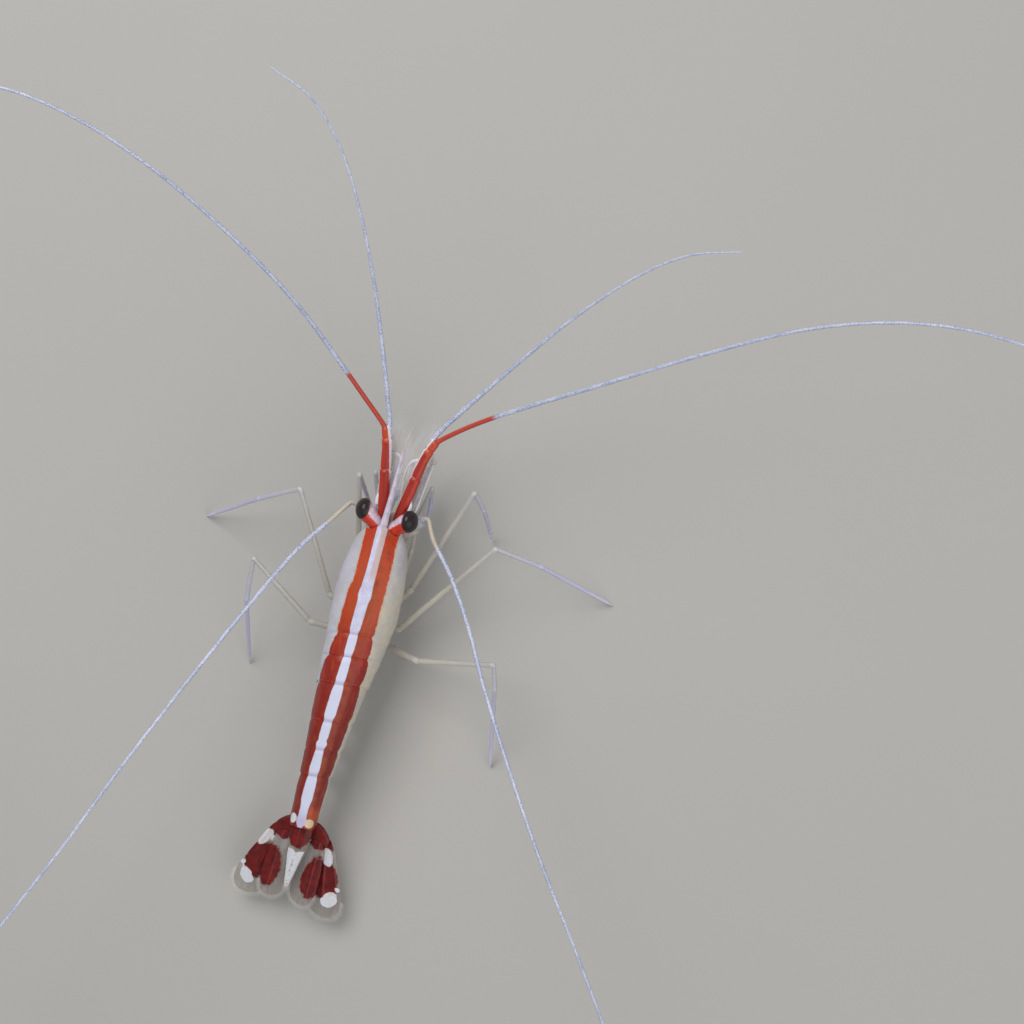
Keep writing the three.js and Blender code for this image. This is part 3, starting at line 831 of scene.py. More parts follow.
@dataclass(frozen=True)
class CorneaFinish(Finish):
    """A dark wet compound eye: rows of tiny facets and a brown glow deep in it."""

    name: str = "cornea"
    dark: Colour = srgb(22, 17, 20)
    brown: Colour = srgb(54, 38, 40)
    seam: Colour = srgb(78, 64, 66)
    lip: Colour = srgb(120, 84, 76)

    def surface(self, paint: Paint) -> Sockets:
        """Mottled brown, paler between the facets and at the rim."""
        at = paint.place()
        (rim,) = paint.values("rim")
        facets = at.cells(13.0, "DISTANCE_TO_EDGE")
        mottle = at.noise(1.7, 3)
        colour = paint.over(
            self.dark, (mottle.step(0.35, 0.7) * 0.6, self.brown),
            (facets.step(0.09, 0.0) * 0.3, self.seam), (rim.step(0.25, 0.0) * 0.5, self.lip),
        )
        normal = paint.bump(facets.step(0.0, 0.12), 0.012)
        return dict(
            Base_Color=colour, Roughness=mottle * 0.16 + 0.3, Normal=normal, IOR=1.4,
            Specular_IOR_Level=0.35, **coat(0.3, 0.1),
        )


@dataclass(frozen=True)
class StalkFinish(Finish):
    """Pinkish-white eyestalk whose rear side carries the end of the red band."""

    name: str = "eyestalk"
    pale: Colour = srgb(212, 192, 206)
    pink: Colour = srgb(204, 160, 168)
    red: Colour = srgb(194, 50, 26)
    fleck: Colour = srgb(160, 40, 24)

    def surface(self, paint: Paint) -> Sockets:
        """Pale pink, and a flecked red band with a ragged edge."""
        at = paint.place()
        (rearwards,) = paint.values("rearwards")
        cloud = at.noise(2.4, 4)
        band = (rearwards + (cloud - 0.5) * 0.5).step(0.16, 0.34)
        fleck = at.dots(2.2, 0.2, 0.1) * band
        tender = cloud.step(0.4, 0.65) * 0.6
        colour = paint.over(self.pale, (tender, self.pink), (band, self.red), (fleck * 0.3, self.fleck))
        return dict(
            Base_Color=colour, Roughness=cloud * 0.2 + 0.26, Normal=paint.bump(at.noise(6.0, 3), 0.015),
            **coat(0.3, 0.15), **depth(0.3, (1.0, 0.4, 0.35), 0.6),
        )


@dataclass(frozen=True)
class PeduncleFinish(Finish):
    """Red antennule stem: darker down its middle, orange at its end, one white inner edge."""

    name: str = "antennule_stem"
    red: Colour = srgb(176, 44, 22)
    dark: Colour = srgb(134, 24, 17)
    orange: Colour = srgb(192, 74, 34)
    white: Colour = srgb(226, 216, 224)
    pale: Colour = srgb(226, 170, 140)

    def surface(self, paint: Paint) -> Sockets:
        """The red, its changes along and across the stem, and pale rings at the joints."""
        inner, reach, joint = paint.values("inner", "reach", "joint")
        cloud = paint.place().noise(2.0, 4)
        ragged = (cloud - 0.5) * 0.3
        edge = (inner + (reach - 1.0) * 0.6 + ragged * 0.4).step(0.4, 0.58) * reach.step(0.4, 0.55)
        ring = joint.step(0.5, 0.95) * inner.step(-0.5, 0.9)
        colour = paint.over(
            self.red, ((inner + ragged).bell(0.1, 0.6) * 0.7, self.dark),
            ((reach + ragged).step(0.76, 0.86) * 0.7, self.orange), (edge, self.white),
            (ring * 0.35, self.pale),
        )
        normal = paint.bump(paint.place(3.0, 0.6, 3.0).noise(2.6, 3), 0.03)
        return dict(
            Base_Color=colour, Roughness=cloud * 0.2 + 0.34, Normal=normal, Specular_IOR_Level=0.4,
            **coat(0.2, 0.2), **depth(0.2, (1.0, 0.35, 0.3), 0.6),
        )


@dataclass(frozen=True)
class FlagellumFinish(Finish):
    """A ringed feeler: coloured as far as until, bluish-white beyond, a speck or two a ring."""

    name: str
    root: Colour
    streak: Colour
    until: float
    white: Colour = srgb(206, 210, 228)
    blue: Colour = srgb(158, 168, 198)
    speck: Colour = srgb(96, 104, 138)
    groove: Colour = srgb(120, 116, 134)

    def surface(self, paint: Paint) -> Sockets:
        """Specked pearl, the streaked root over it, and darker grooves between the rings."""
        along, ring, round_x, round_y = paint.values("along", "ring", "round_x", "round_y")
        wound = paint.spot(along * 1.6, round_x, round_y)
        cloud = paint.spot(along * 0.5, round_x * 0.4, round_y * 0.4).noise(0.8, 3)
        speck = wound.dots(1.8, 0.42, 0.26)
        ragged = (wound.noise(1.5) - 0.5) * 1.4
        rooted = (along + ragged).step(self.until + 0.35, self.until - 0.35)
        pearl = paint.over(
            self.white, (cloud.step(0.35, 0.65) * 0.55, self.blue), (speck * 0.75, self.speck),
        )
        root = paint.over(
            self.root, (round_x.bell(1.0, 0.14) * 0.8, self.streak), (speck * 0.3, self.streak),
        )
        colour = paint.over(pearl, (rooted, root), (ring.bell(0.0, 0.28) * 0.35, self.groove))
        return dict(
            Base_Color=colour, Roughness=cloud * 0.25 + 0.25,
            Normal=paint.bump(wound.noise(2.0, 3), 0.012),
            **coat(0.2, 0.2), **depth(0.2, (0.8, 0.8, 1.0), 0.3),
        )


@dataclass(frozen=True)
class LimbFinish(Finish):
    """Glassy limb: clear grey near the hip, bluish-lilac towards the foot, with painted white glints at the
    joints.
    """

    name: str = "glassy_limb"
    colours: tuple = (
        (0.0, srgb(208, 204, 190)), (0.3, srgb(202, 198, 186)), (0.55, srgb(200, 197, 202)),
        (0.68, srgb(196, 194, 220)), (0.9, srgb(204, 202, 230)), (1.0, srgb(222, 218, 230)),
    )
    glint: Colour = srgb(236, 236, 246)
    amber: Colour = srgb(186, 140, 84)

    def surface(self, paint: Paint) -> Sockets:
        """The colours along the limb, an amber tendon, and painted glints: pale specks and white at the
        joints.
        """
        at = paint.place()
        reach, joint, round_y = paint.values("reach", "joint", "round_y")
        cloud = at.noise(1.6, 4)
        tendon = round_y.bell(0.1, 0.5) * cloud.step(0.35, 0.6) * reach.step(0.72, 0.3)
        # Painted highlights: speck scatters tiny glints over the limb, and white puts a glint on each
        # joint.
        speck, white = at.dots(3.6, 0.16, 0.08), joint.step(0.35, 1.0)
        colour = paint.over(
            paint.ramp(reach + (cloud - 0.5) * 0.12, self.colours), (tendon * 0.45, self.amber),
            (speck * 0.55, self.glint), (white * 0.2, self.glint),
        )
        alpha = (white * 0.08 + speck * 0.3 + reach * 0.2 + cloud * 0.16 + 0.44).least(1.0)
        return dict(
            Base_Color=colour, Roughness=cloud * 0.2 + 0.14, Alpha=alpha, IOR=1.5,
            Normal=paint.bump(at.noise(5.0, 3), 0.02),
            **coat(0.5, 0.1), **depth(0.15, (0.8, 0.7, 0.7), 0.4),
        )


@dataclass(frozen=True)
class BladeFinish(Finish):
    """A clear ribbed blade, whitish along its ribs and edges."""

    name: str
    clear: Colour = srgb(190, 186, 180)
    whitish: Colour = srgb(232, 230, 236)
    faintness: float = 0.34

    def surface(self, paint: Paint) -> Sockets:
        """Clear skin, whiter and more solid at the veins and the edge."""
        u, v, rim = paint.values("u", "v", "rim")
        cloud = paint.place().noise(1.2, 4)
        veins = paint.spot(u * 5.0, v * 0.35).noise(1.4, 3)
        vein, edge = veins.step(0.5, 0.62), rim.step(0.14, 0.02)
        return dict(
            Base_Color=paint.over(self.clear, ((vein * 0.6).most(edge), self.whitish)),
            Roughness=cloud * 0.2 + 0.2, IOR=1.45, Normal=paint.bump(veins, 0.05),
            Alpha=edge * 0.32 + vein * 0.2 + cloud * 0.22 + self.faintness, **coat(0.3, 0.12),
        )


@dataclass(frozen=True)
class Oval:
    """A soft-edged oval mark on a blade: its middle, half axes and lean in degrees."""

    u: float
    v: float
    half_u: float
    half_v: float
    lean: float = 0.0
    soft: float = 0.07

    def on(self, u: Wire, v: Wire, ragged: Wire) -> Wire:
        """1 inside the oval and 0 outside; its edge follows the ragged noise."""
        cos, sin = math.cos(math.radians(self.lean)), math.sin(math.radians(self.lean))
        across = (u - self.u) * (cos / self.half_u) + (v - self.v) * (sin / self.half_u)
        along = (v - self.v) * (cos / self.half_v) - (u - self.u) * (sin / self.half_v)
        outwards = (across * across + along * along) ** 0.5 + ragged
        return outwards.step(1.0 + self.soft, 1.0 - self.soft)


class Mark(Enum):
    """The paints of the tail fan."""

    RED = "red"
    WHITE = "white"


@dataclass(frozen=True)
class TailFinish(Finish):
    """A tail blade: clear smoky skin with red fields, white marks, fine ribs and specks.

    A tapering blade, the telson, also carries a peppered white wedge.
    """

    name: str
    marks: tuple[tuple[Mark, Oval], ...]
    tapering: bool = False
    red: Colour = srgb(124, 20, 16)
    dark: Colour = srgb(88, 14, 14)
    white: Colour = srgb(208, 208, 216)
    cream: Colour = srgb(214, 202, 190)
    speck: Colour = srgb(112, 104, 122)
    pepper: Colour = srgb(70, 54, 56)
    smoke: Colour = srgb(150, 140, 130)
    hem: Colour = srgb(216, 196, 156)

    def surface(self, paint: Paint) -> Sockets:
        """Smoky skin, the red marks over it and the white ones over both."""
        at = paint.place()
        u, v, rim = paint.values("u", "v", "rim")
        cloud = at.noise(1.3, 4)
        ragged = (at.noise(1.5, 5) - 0.5) * 0.5
        shares = {mark: cloud * 0.0 for mark in Mark}
        for mark, oval in self.marks:
            shares[mark] = shares[mark].most(oval.on(u, v, ragged))
        specks = paint.spot(u * 1.4, v).dots(4.0, 0.26, 0.14)
        creamy = cloud.step(0.4, 0.68) * 0.7
        white = paint.over(self.white, (creamy, self.cream), (specks * 0.5, self.speck))
        if self.tapering:
            width = 0.98 - (v - 3.3) * 0.158
            wedge = (width - (u + 0.05).size() + ragged * 0.3).step(-0.04, 0.04)
            notch = (u + 0.1).bell(0.0, 0.5) * 0.25
            wedge = wedge * (v + ragged * 0.8 - notch).step(3.02, 3.14)
            shares[Mark.WHITE] = shares[Mark.WHITE].most(wedge)
            pepper = at.dots(4.4, 0.42, 0.3) * (u + 0.05).bell(0.0, 0.34)
            white = paint.over(white, (pepper * 0.7, self.pepper))
        ribs = paint.spot(u * 4.0, v * 0.3).noise(1.5, 3)
        edge = rim.step(0.05, 0.0)
        smoke = paint.over(self.smoke, (ribs.step(0.5, 0.64) * 0.3, self.white), (edge * 0.45, self.hem))
        red = paint.over(self.dark, (cloud.step(0.36, 0.66) * 0.7, self.red))
        colour = paint.over(smoke, (shares[Mark.RED], red), (shares[Mark.WHITE], white))
        solid = shares[Mark.RED].most(shares[Mark.WHITE])
        alpha = (solid + 0.26 + edge * 0.2 + cloud * 0.2).least(1.0)
        normal = paint.bump(at.cells(6.0), 0.008, paint.bump(ribs, 0.05))
        return dict(
            Base_Color=colour, Roughness=cloud * 0.2 + 0.34, Alpha=alpha, Normal=normal, IOR=1.42,
            Specular_IOR_Level=0.4, **coat(0.15, 0.2), **depth(0.1, (1.0, 0.4, 0.3), 0.4),
        )


@dataclass(frozen=True)
class SetaFinish(Finish):
    """Fine clear hair, tawny at the root and pale at the tip."""

    name: str = "setae"
    root: Colour = srgb(212, 206, 198)
    tip: Colour = srgb(236, 234, 240)

    def surface(self, paint: Paint) -> Sockets:
        """Paler and clearer towards the tip."""
        (share,) = paint.values("tip")
        streak = paint.place().noise(3.0)
        colour = paint.over(self.root, ((share + (streak - 0.5) * 0.4).step(0.1, 0.8), self.tip))
        return dict(Base_Color=colour, Roughness=streak * 0.3 + 0.25, Alpha=0.62 - share * 0.24)


@dataclass(frozen=True)
class PaperFinish(Finish):
    """Plain matt paper for the floor."""

    name: str = "matt_paper"
    pale: Colour = srgb(178, 174, 168)
    cloudy: Colour = srgb(173, 170, 165)

    def surface(self, paint: Paint) -> Sockets:
        """Faint clouds and a fibre that is barely there."""
        at = paint.place()
        fibre = at.noise(1.2, 4)
        colour = paint.over(self.pale, (at.noise(0.02, 3), self.cloudy))
        return dict(Base_Color=colour, Roughness=fibre * 0.1 + 0.8, Normal=paint.bump(fibre, 0.03))


# ---------------- trunk


@dataclass(frozen=True)
class Trunk:
    """The body's form, which the shell plates and the flesh share.

    lean is how far x grows with the depth below the top, and skew how far y grows with x.
    """

    stations: tuple = (  # y, half width, top, lower edge
        (-5.6, 2.45, 13.25, 8.3), (-4.6, 3.0, 13.45, 7.0), (-3.0, 3.48, 13.55, 6.2),
        (-0.5, 3.86, 13.6, 5.5), (2.0, 4.02, 13.5, 5.0), (4.6, 3.95, 13.3, 4.8),
        (7.0, 3.66, 12.95, 5.2), (9.3, 3.45, 12.75, 5.2), (12.6, 3.02, 12.5, 5.1),
        (17.2, 2.56, 11.8, 5.0), (20.7, 2.21, 11.0, 5.0), (23.9, 1.95, 10.1, 5.0),
        (30.0, 1.6, 8.5, 4.9),
    )
    lean: tuple = ((-5.0, 0.07), (1.0, 0.055), (7.0, 0.02), (12.0, 0.05), (20.0, 0.08), (26.0, 0.1))
    skew: tuple = ((3.0, 0.0), (7.0, 0.15), (24.0, 0.13), (30.0, 0.03))
    widest: float = 0.45
    upper_power: float = 2.15
    lower_power: float = 2.6

    def midline(self, y: Array) -> Array:
        """x of the body's middle: the tail curves gently to the left."""
        return 0.13 * ease(y, 8, 16) + 0.31 * ease(y, 14, 30)

    def half_width(self, y: Array) -> Array:
        """Half the width of the body."""
        return through(self.stations, y)[..., 0]

    def surface(self, y: Array, angle: Array, lift: Array | float = 0.0) -> Array:
        """Points of the trunk: a superellipse at each y.

        With s and c the sine and cosine of the angle, x is half width * |s| to the 2 / power and
        z the middle level plus height * |c| to the 2 / power, with one power above the middle
        and another below. The lean and the skew are added last.

        Args:
            y: Place along the body.
            angle: Angle round it, 0 on top and positive to the left.
            lift: Distance outside the surface.

        Returns:
            The points.
        """
        half, top, bottom = np.moveaxis(through(self.stations, y), -1, 0)
        middle = bottom + self.widest * (top - bottom)
        side, up = np.sin(angle), np.cos(angle)
        power = 2 / np.where(up >= 0, self.upper_power, self.lower_power)
        x = (half + lift) * np.sign(side) * np.abs(side) ** power
        height = np.where(up >= 0, top - middle, middle - bottom) + lift
        z = middle + np.sign(up) * height * np.abs(up) ** power
        aslant = x + through(self.lean, y) * (top - z)
        return np.stack([self.midline(y) + aslant, y + through(self.skew, y) * x, z], -1)

    def girth(self, y: Array, angle: Array) -> Array:
        """Length of the surface from the top round to the angle, signed as the angle is."""
        share = np.linspace(0, 1, 20)
        swept = self.surface(y[..., None] + 0 * share, angle[..., None] * share)
        return np.sign(angle) * np.linalg.norm(np.diff(swept, axis=-2), axis=-1).sum(-1)


@dataclass(frozen=True)
class Markings:
    """The white stripe and the red bands, as distances round the body from the top.

    centre, stripe, left and right hold y and the stripe's middle, its half width and the outer
    edge of each band. The stripe narrows by pinch at a joint, and the bands by notch.
    """

    joints: tuple = (6.6, 9.3, 12.6, 17.2, 20.7, 23.9, 30.55)
    centre: tuple = (
        (-6.0, 0.0), (-3.5, -0.16), (0.0, -0.26), (7.0, -0.18), (12.0, -0.16), (18.0, -0.03), (23.0, 0.07),
    )
    stripe: tuple = (
        (-6.0, 0.62), (-3.0, 0.6), (0.5, 0.66), (2.0, 0.78), (2.8, 0.64), (5.3, 0.62), (6.6, 0.56),
        (9.3, 0.52), (12.6, 0.58), (14.5, 0.67), (16.3, 0.66), (17.6, 0.56), (19.2, 0.56), (19.6, 0.48),
        (20.1, 0.64), (21.2, 0.52), (23.0, 0.62), (25.0, 0.65), (26.8, 0.68), (28.2, 0.5),
        (29.0, 0.5), (29.7, 0.62), (30.1, 0.52), (30.55, 0.28),
    )
    left: tuple = (
        (-5.6, 2.5), (-2.6, 2.0), (0.4, 1.95), (1.7, 2.24), (5.6, 2.27), (6.6, 2.3), (8.7, 2.75),
        (11.8, 3.5), (15.0, 3.75), (18.0, 3.4), (20.4, 3.05), (22.9, 2.85), (26.5, 2.65), (30.0, 2.6),
    )
    right: tuple = (
        (-5.6, 2.4), (-3.7, 2.2), (-0.7, 2.3), (4.3, 2.4), (7.3, 2.5), (10.3, 2.95), (13.4, 3.1),
        (16.5, 3.4), (19.1, 3.1), (21.8, 2.95), (25.6, 2.8), (30.0, 2.75),
    )
    pinch: float = 0.15
    notch: float = 0.3
    lobes: tuple = ((1.27, 29.62, 0.66, 0.6), (-1.06, 29.86, 0.66, 0.52))  # side, y, half sizes

    def values(self, y: Array, around: Array) -> dict[str, Array]:
        """The shell's values at places along the body and distances round it.

        Args:
            y: Place along the body.
            around: Distance round from the top, positive to the left.

        Returns:
            along, side, seam, stripe and band, as ShellFinish reads them.
        """
        side = around - through(self.centre, y)
        seam = np.abs(y[..., None] - np.array(self.joints)).min(-1)
        half = through(self.stripe, y) * (1 - self.pinch * hill(seam, 0, 0.4))
        stripe = half - np.abs(side)
        for across, along, half_across, half_along in self.lobes:
            out = np.hypot((side - across) / half_across, (y - along) / half_along)
            stripe = np.maximum(stripe, 0.5 * (1 - out))
        edge = np.where(side > 0, through(self.left, y), through(self.right, y))
        band = edge - self.notch * ease(y, 5.5, 7.5) * hill(seam, 0, 0.5) - np.abs(side)
        return {"along": y, "side": side, "seam": seam, "stripe": stripe, "band": band}


@dataclass(frozen=True)
class Plate:
    """One abdomen plate: where it starts and ends, and its side flaps.

    reach is how far round the flaps come, in degrees, spread how much wider than the back they
    are along the body, lean how far they lean to the rear, over how far they stand out and hind
    how far the flank stands back at the rear edge.
    """

    start: float
    end: float
    reach: float
    spread: float = 1.0
    lean: float = 0.0
    over: float = 0.0
    hind: float = 0.0


@dataclass(frozen=True)
class Body:
    """The shell of the trunk and the flesh in it."""

    trunk: Trunk = Trunk()
    markings: Markings = Markings()
    shell: float = 0.12
    carapace_reach: float = 147.0
    front: tuple = (  # degrees from the top, y of the carapace's front edge
        (0, -6.4), (9, -6.35), (17, -6.1), (30, -5.8), (48, -5.65), (58, -5.8), (64, -6.6),
        (70, -5.8), (92, -5.65), (112, -5.3), (126, -4.4), (138, -3.0), (147, -1.6),
    )
    rear: tuple = (
        (0, 6.62), (35, 6.72), (65, 7.2), (92, 7.75), (115, 7.5), (130, 6.6), (140, 5.2), (147, 3.4),
    )
    plates: tuple = (
        Plate(6.2, 9.35, 133, 0.96, 0.1), Plate(9.0, 12.75, 150, 1.22, 0.15, 0.07),
        Plate(12.1, 17.35, 148, 0.98, 0.35), Plate(16.7, 20.85, 146, 0.96, 0.4),
        Plate(20.2, 24.05, 143, 0.92, 0.45), Plate(23.4, 30.55, 122, 0.9, -0.2, hind=0.25),
    )
    flaps_from: float = 75.0
    rostrum_root: Point = (0.0, -4.9, 12.95)
    rostrum_tip: Point = (-0.05, -15.85, 14.3)
    inset: float = 0.34

    def build(self) -> None:
        """Makes the carapace, the six plates and the flesh."""
        finish = ShellFinish().material()
        shield = joined([self.carapace(), self.rostrum()])
        make_piece("carapace_and_rostrum", shield, finish, "shell", "carapace", "rostrum")
        for number, plate in enumerate(self.plates, 1):
            name = f"abdomen_plate_{number}"
            make_piece(name, self.somite(plate), finish, "shell", f"abdomen_{number}")
        make_piece("trunk_flesh", self.flesh(), FleshFinish().material(), "swimmeret")

    def shell_values(self, y: Array, angle: Array) -> dict[str, Array]:
        """The markings' values at places along the body and angles round it."""
        return self.markings.values(y, self.trunk.girth(y, angle))

    def carapace(self) -> Form:
        """The shield: rows run from its curved front edge to its rear edge, which reaches
        further back on the flanks; a low keel on top runs into the rostrum."""
        turned = np.linspace(-self.carapace_reach, self.carapace_reach, 165)
        down = np.abs(turned)
        front, rear = through(self.front, down), through(self.rear, down)
        share = np.linspace(0, 1, 96)[:, None]
        y = front + (rear - front) * share
        angle = np.radians(turned) + 0 * y
        keel = 0.3 * ease(-y, -1.5, 5.5) * hill(turned, 0, 9)
        socket = -0.12 * hill(down, 38, 16) * ease(-y, 3.4, 5.2)
        groove = -0.07 * hill(y - 1.2 - 0.035 * (down - 75), 0, 0.35) * ease(down, 50, 75)
        brim = 0.07 * hill(share, 0.965, 0.03) - 0.05 * ease(share, 0.98, 1.0)
        outer = self.trunk.surface(y, angle, keel + socket + groove + brim)
        hem = down / self.carapace_reach + 0 * y
        return plated(outer, self.shell, hem=hem, **self.shell_values(y, angle))

    def rostrum(self) -> Form:
        """The beak: a blade, thin above, with saw teeth above and below pointing forwards.

        Half height and half width taper along it; each tooth rises towards the tip and drops
        sheer, and its height also tapers.
        """
        share = np.linspace(0, 1, 260)
        path = np.linspace(self.rostrum_root, self.rostrum_tip, 260)
        path[:, 2] += 0.5 * share * (share - 1)
        slim = np.sqrt(np.maximum(1 - ease(share, 0.86, 1.0), 0.02))
        half_width = (0.5 - 0.34 * share**0.8) * slim
        teeth = 0.3 * (1 - 0.5 * share) * ease(share, 0.02, 0.1) * slim
        upper = (0.36 - 0.2 * share) * slim + teeth * ((7 * share) % 1) ** 1.6
        keel = 0.62 * hill(share, 0.42, 0.3)
        under = ease(share, 0.25, 0.4) * teeth * ((6 * share) % 1) ** 1.6
        lower = (0.4 - 0.3 * share + keel) * slim + under
        side, up = np.sin(turns(20)), np.cos(turns(20))
        x = half_width[:, None] * np.sign(side) * np.abs(side) ** 0.9
        x = x * np.where(up > 0, 1 - 0.55 * up, 1 + 0.72 * up)
        z = np.where(up > 0, upper[:, None], lower[:, None]) * up
        grid = path[:, None] + np.stack([x, 0 * x, z], -1)
        return woven(grid, along=grid[..., 1], side=x, seam=9.0, stripe=0.14 + 0.5 * up, band=-1.0)

    def somite(self, plate: Plate) -> Form:
        """One plate of the abdomen: its back is a band, and its side flaps round off below.

        Past the angle where the flaps begin, the half length falls as the root of 1 - t to the
        2.4, t being the share of the way down to the plate's reach.
        """
        turned = np.linspace(-plate.reach, plate.reach, 121)
        around = np.abs(turned)
        down = np.clip((around - self.flaps_from) / (plate.reach - self.flaps_from), 0, 1)
        half = 0.5 * (plate.end - plate.start) * (1 + (plate.spread - 1) * ease(around, 55, 95))
        half = half * np.sqrt(np.maximum(1 - down**2.4, 0.02))
        middle = 0.5 * (plate.start + plate.end) + plate.lean * ease(around, 60, 130)
        share = np.linspace(0, 1, 60)[:, None]
        y = middle + (2 * share - 1) * half + plate.hind * hill(around, 100, 12) * share
        angle = np.radians(turned) + 0 * y
        tuck = -0.15 * ease(share, 0.28, 0.0) + 0.04 * ease(share, 0.6, 0.94) - 0.04 * ease(share, 0.95, 1)
        ridge = 0.02 * hill(share, 0.32, 0.05)
        outer = self.trunk.surface(y, angle, tuck + plate.over * ease(around, 50, 85) + ridge)
        hem = np.maximum(share * ease(around, 70, 100), down)
        return plated(outer, self.shell, hem=hem, **self.shell_values(y, angle))

    def flesh(self) -> Form:
        """The flesh inside the shell: the trunk drawn in a little, hollowed underneath, with a
        shallow crease at each joint."""
        y = np.linspace(-6.5, 30.0, 150)[:, None]
        angle = turns(72) + 0 * y
        crease = 0.1 * sum(hill(y, joint, 0.35) for joint in self.markings.joints[1:-1])
        ends = domed(np.full(150, 1.6), y[:, 0])[:, None] - 1.6
        grid = self.trunk.surface(y, angle, ends * 0.9 - self.inset - crease)
        share = (grid[..., 0] - self.trunk.midline(y)) / (0.62 * self.trunk.half_width(y))
        hollow = 0.75 + 0.35 * ease(y, 6, 8)
        grid[..., 2] += np.where(np.cos(angle) < 0, hollow * np.maximum(0, 1 - share**2), 0)
        return woven(grid, along=y)


# ---------------- limbs and feelers


@dataclass(frozen=True)
class Limb:
    """A jointed limb along the corners of its segments.

    radii has one radius a corner, knee is the corner where the glassy part ends, claw the length
    of the last, sharp part and fingers the length of a pincer, or 0. annuli counts the rings of
    the segment that starts at the corner ringed_from.
    """

    points: Knots
    radii: Sequence[float]
    knee: int = 3
    claw: float = 1.3
    fingers: float = 0.0
    annuli: int = 0
    ringed_from: int = 4
    spinules: bool = True

    def on(self, sign: float) -> "Limb":
        """The limb itself for 1 and its mirror image for -1."""
        return replace(self, points=np.array(self.points) * [sign, 1, 1])

    def path(self) -> tuple[Array, Array]:
        """The middle line and the distance along it."""
        return softened(self.points, 0.1, 0.8)

    def form(self) -> Form:
        """The limb: its radius swells before a joint, pinches just behind it and tapers to the
        claw; spinules stand along the outer half and at the foot."""
        path, reach = self.path()
        corners = lengths_along(np.asarray(self.points, float))
        total = corners[-1]
        radius = through(np.column_stack([corners, self.radii]), reach)
        gap = reach[:, None] - corners[1:-1]
        swell = hill(gap, -0.12, 0.42).sum(-1)
        pinch = hill(gap, 0.34, 0.13).sum(-1)
        radius = radius * (1 + 0.14 * swell - 0.2 * pinch)
        if self.annuli:
            start, end = corners[self.ringed_from:self.ringed_from + 2]
            count = (reach - start) / (end - start) * self.annuli
            inside = (count > 0.5) & (count < self.annuli - 0.5)
            radius = radius * (1 - 0.13 * inside * np.cos(2 * np.pi * count))
        if not self.fingers:
            start = total - self.claw
            radius = radius * (1 - 0.2 * hill(reach - start, 0.06, 0.1))
            radius = radius * (1 - 0.72 * ease(reach, start, total) ** 1.3)
        share = np.interp(reach, [0, corners[self.knee], total], [0, 0.5, 1])
        grid = ringed(path, domed(radius, reach), 14, 0.92)
        skin = woven(grid, reach=share[:, None], joint=swell[:, None], round_y=np.sin(turns(14)), tip=0.0)
        extras = []
        if self.fingers:
            extras = self.pincer(path, radius[-1])
        elif self.spinules:
            extras = [self.spines(path, reach, radius, corners[self.knee])]
        return joined([skin, *extras])

    def pincer(self, path: Array, radius: float) -> list[Form]:
        """Two curved fingers that close on each other at their tips."""
        along = unit(path[-1] - path[-4])
        side = np.cross(along, unit(np.cross(along, [0.9, 0.1, 0.3])))
        turn = {"reach": 0.97, "joint": 0.0, "round_y": np.sin(turns(20))}
        steps = ((-0.25, 0.42), (0.5 * self.fingers, 0.8), (self.fingers, 0.06))
        return [
            lobe(
                [path[-1] + ahead * along + sign * out * radius * side for ahead, out in steps],
                [0.55 * radius, 0.4 * radius, 0.16 * radius], values=turn,
            )
            for sign in SIDES.values()
        ]

    def spines(self, path: Array, reach: Array, radius: Array, knee: float) -> Form:
        """A row of spinules under the outer half and three longer ones by the foot."""
        total, row, foot = reach[-1], np.ones(9), np.ones(3)
        places = np.concatenate([np.linspace(knee + 0.8, total - 1.5, 9), (total - self.claw) * foot])
        rows = np.searchsorted(reach, places)
        along = heading(path)[rows]
        down = squared(-UP, along)
        lean = np.concatenate([0.4 * (-1.0) ** np.arange(9), [-0.7, 0, 0.7]])[:, None]
        out = unit(down + lean * np.cross(along, down))
        pointing = unit(out + np.concatenate([1.5 * row, 2.4 * foot])[:, None] * along)
        roots = path[rows] + out * radius[rows, None] * 0.85
        lengths = np.concatenate([0.34 * row, 0.5 * foot])
        return bristles(roots, pointing, lengths, 0.045, 0.15 * along, reach=0.95, joint=0.3)


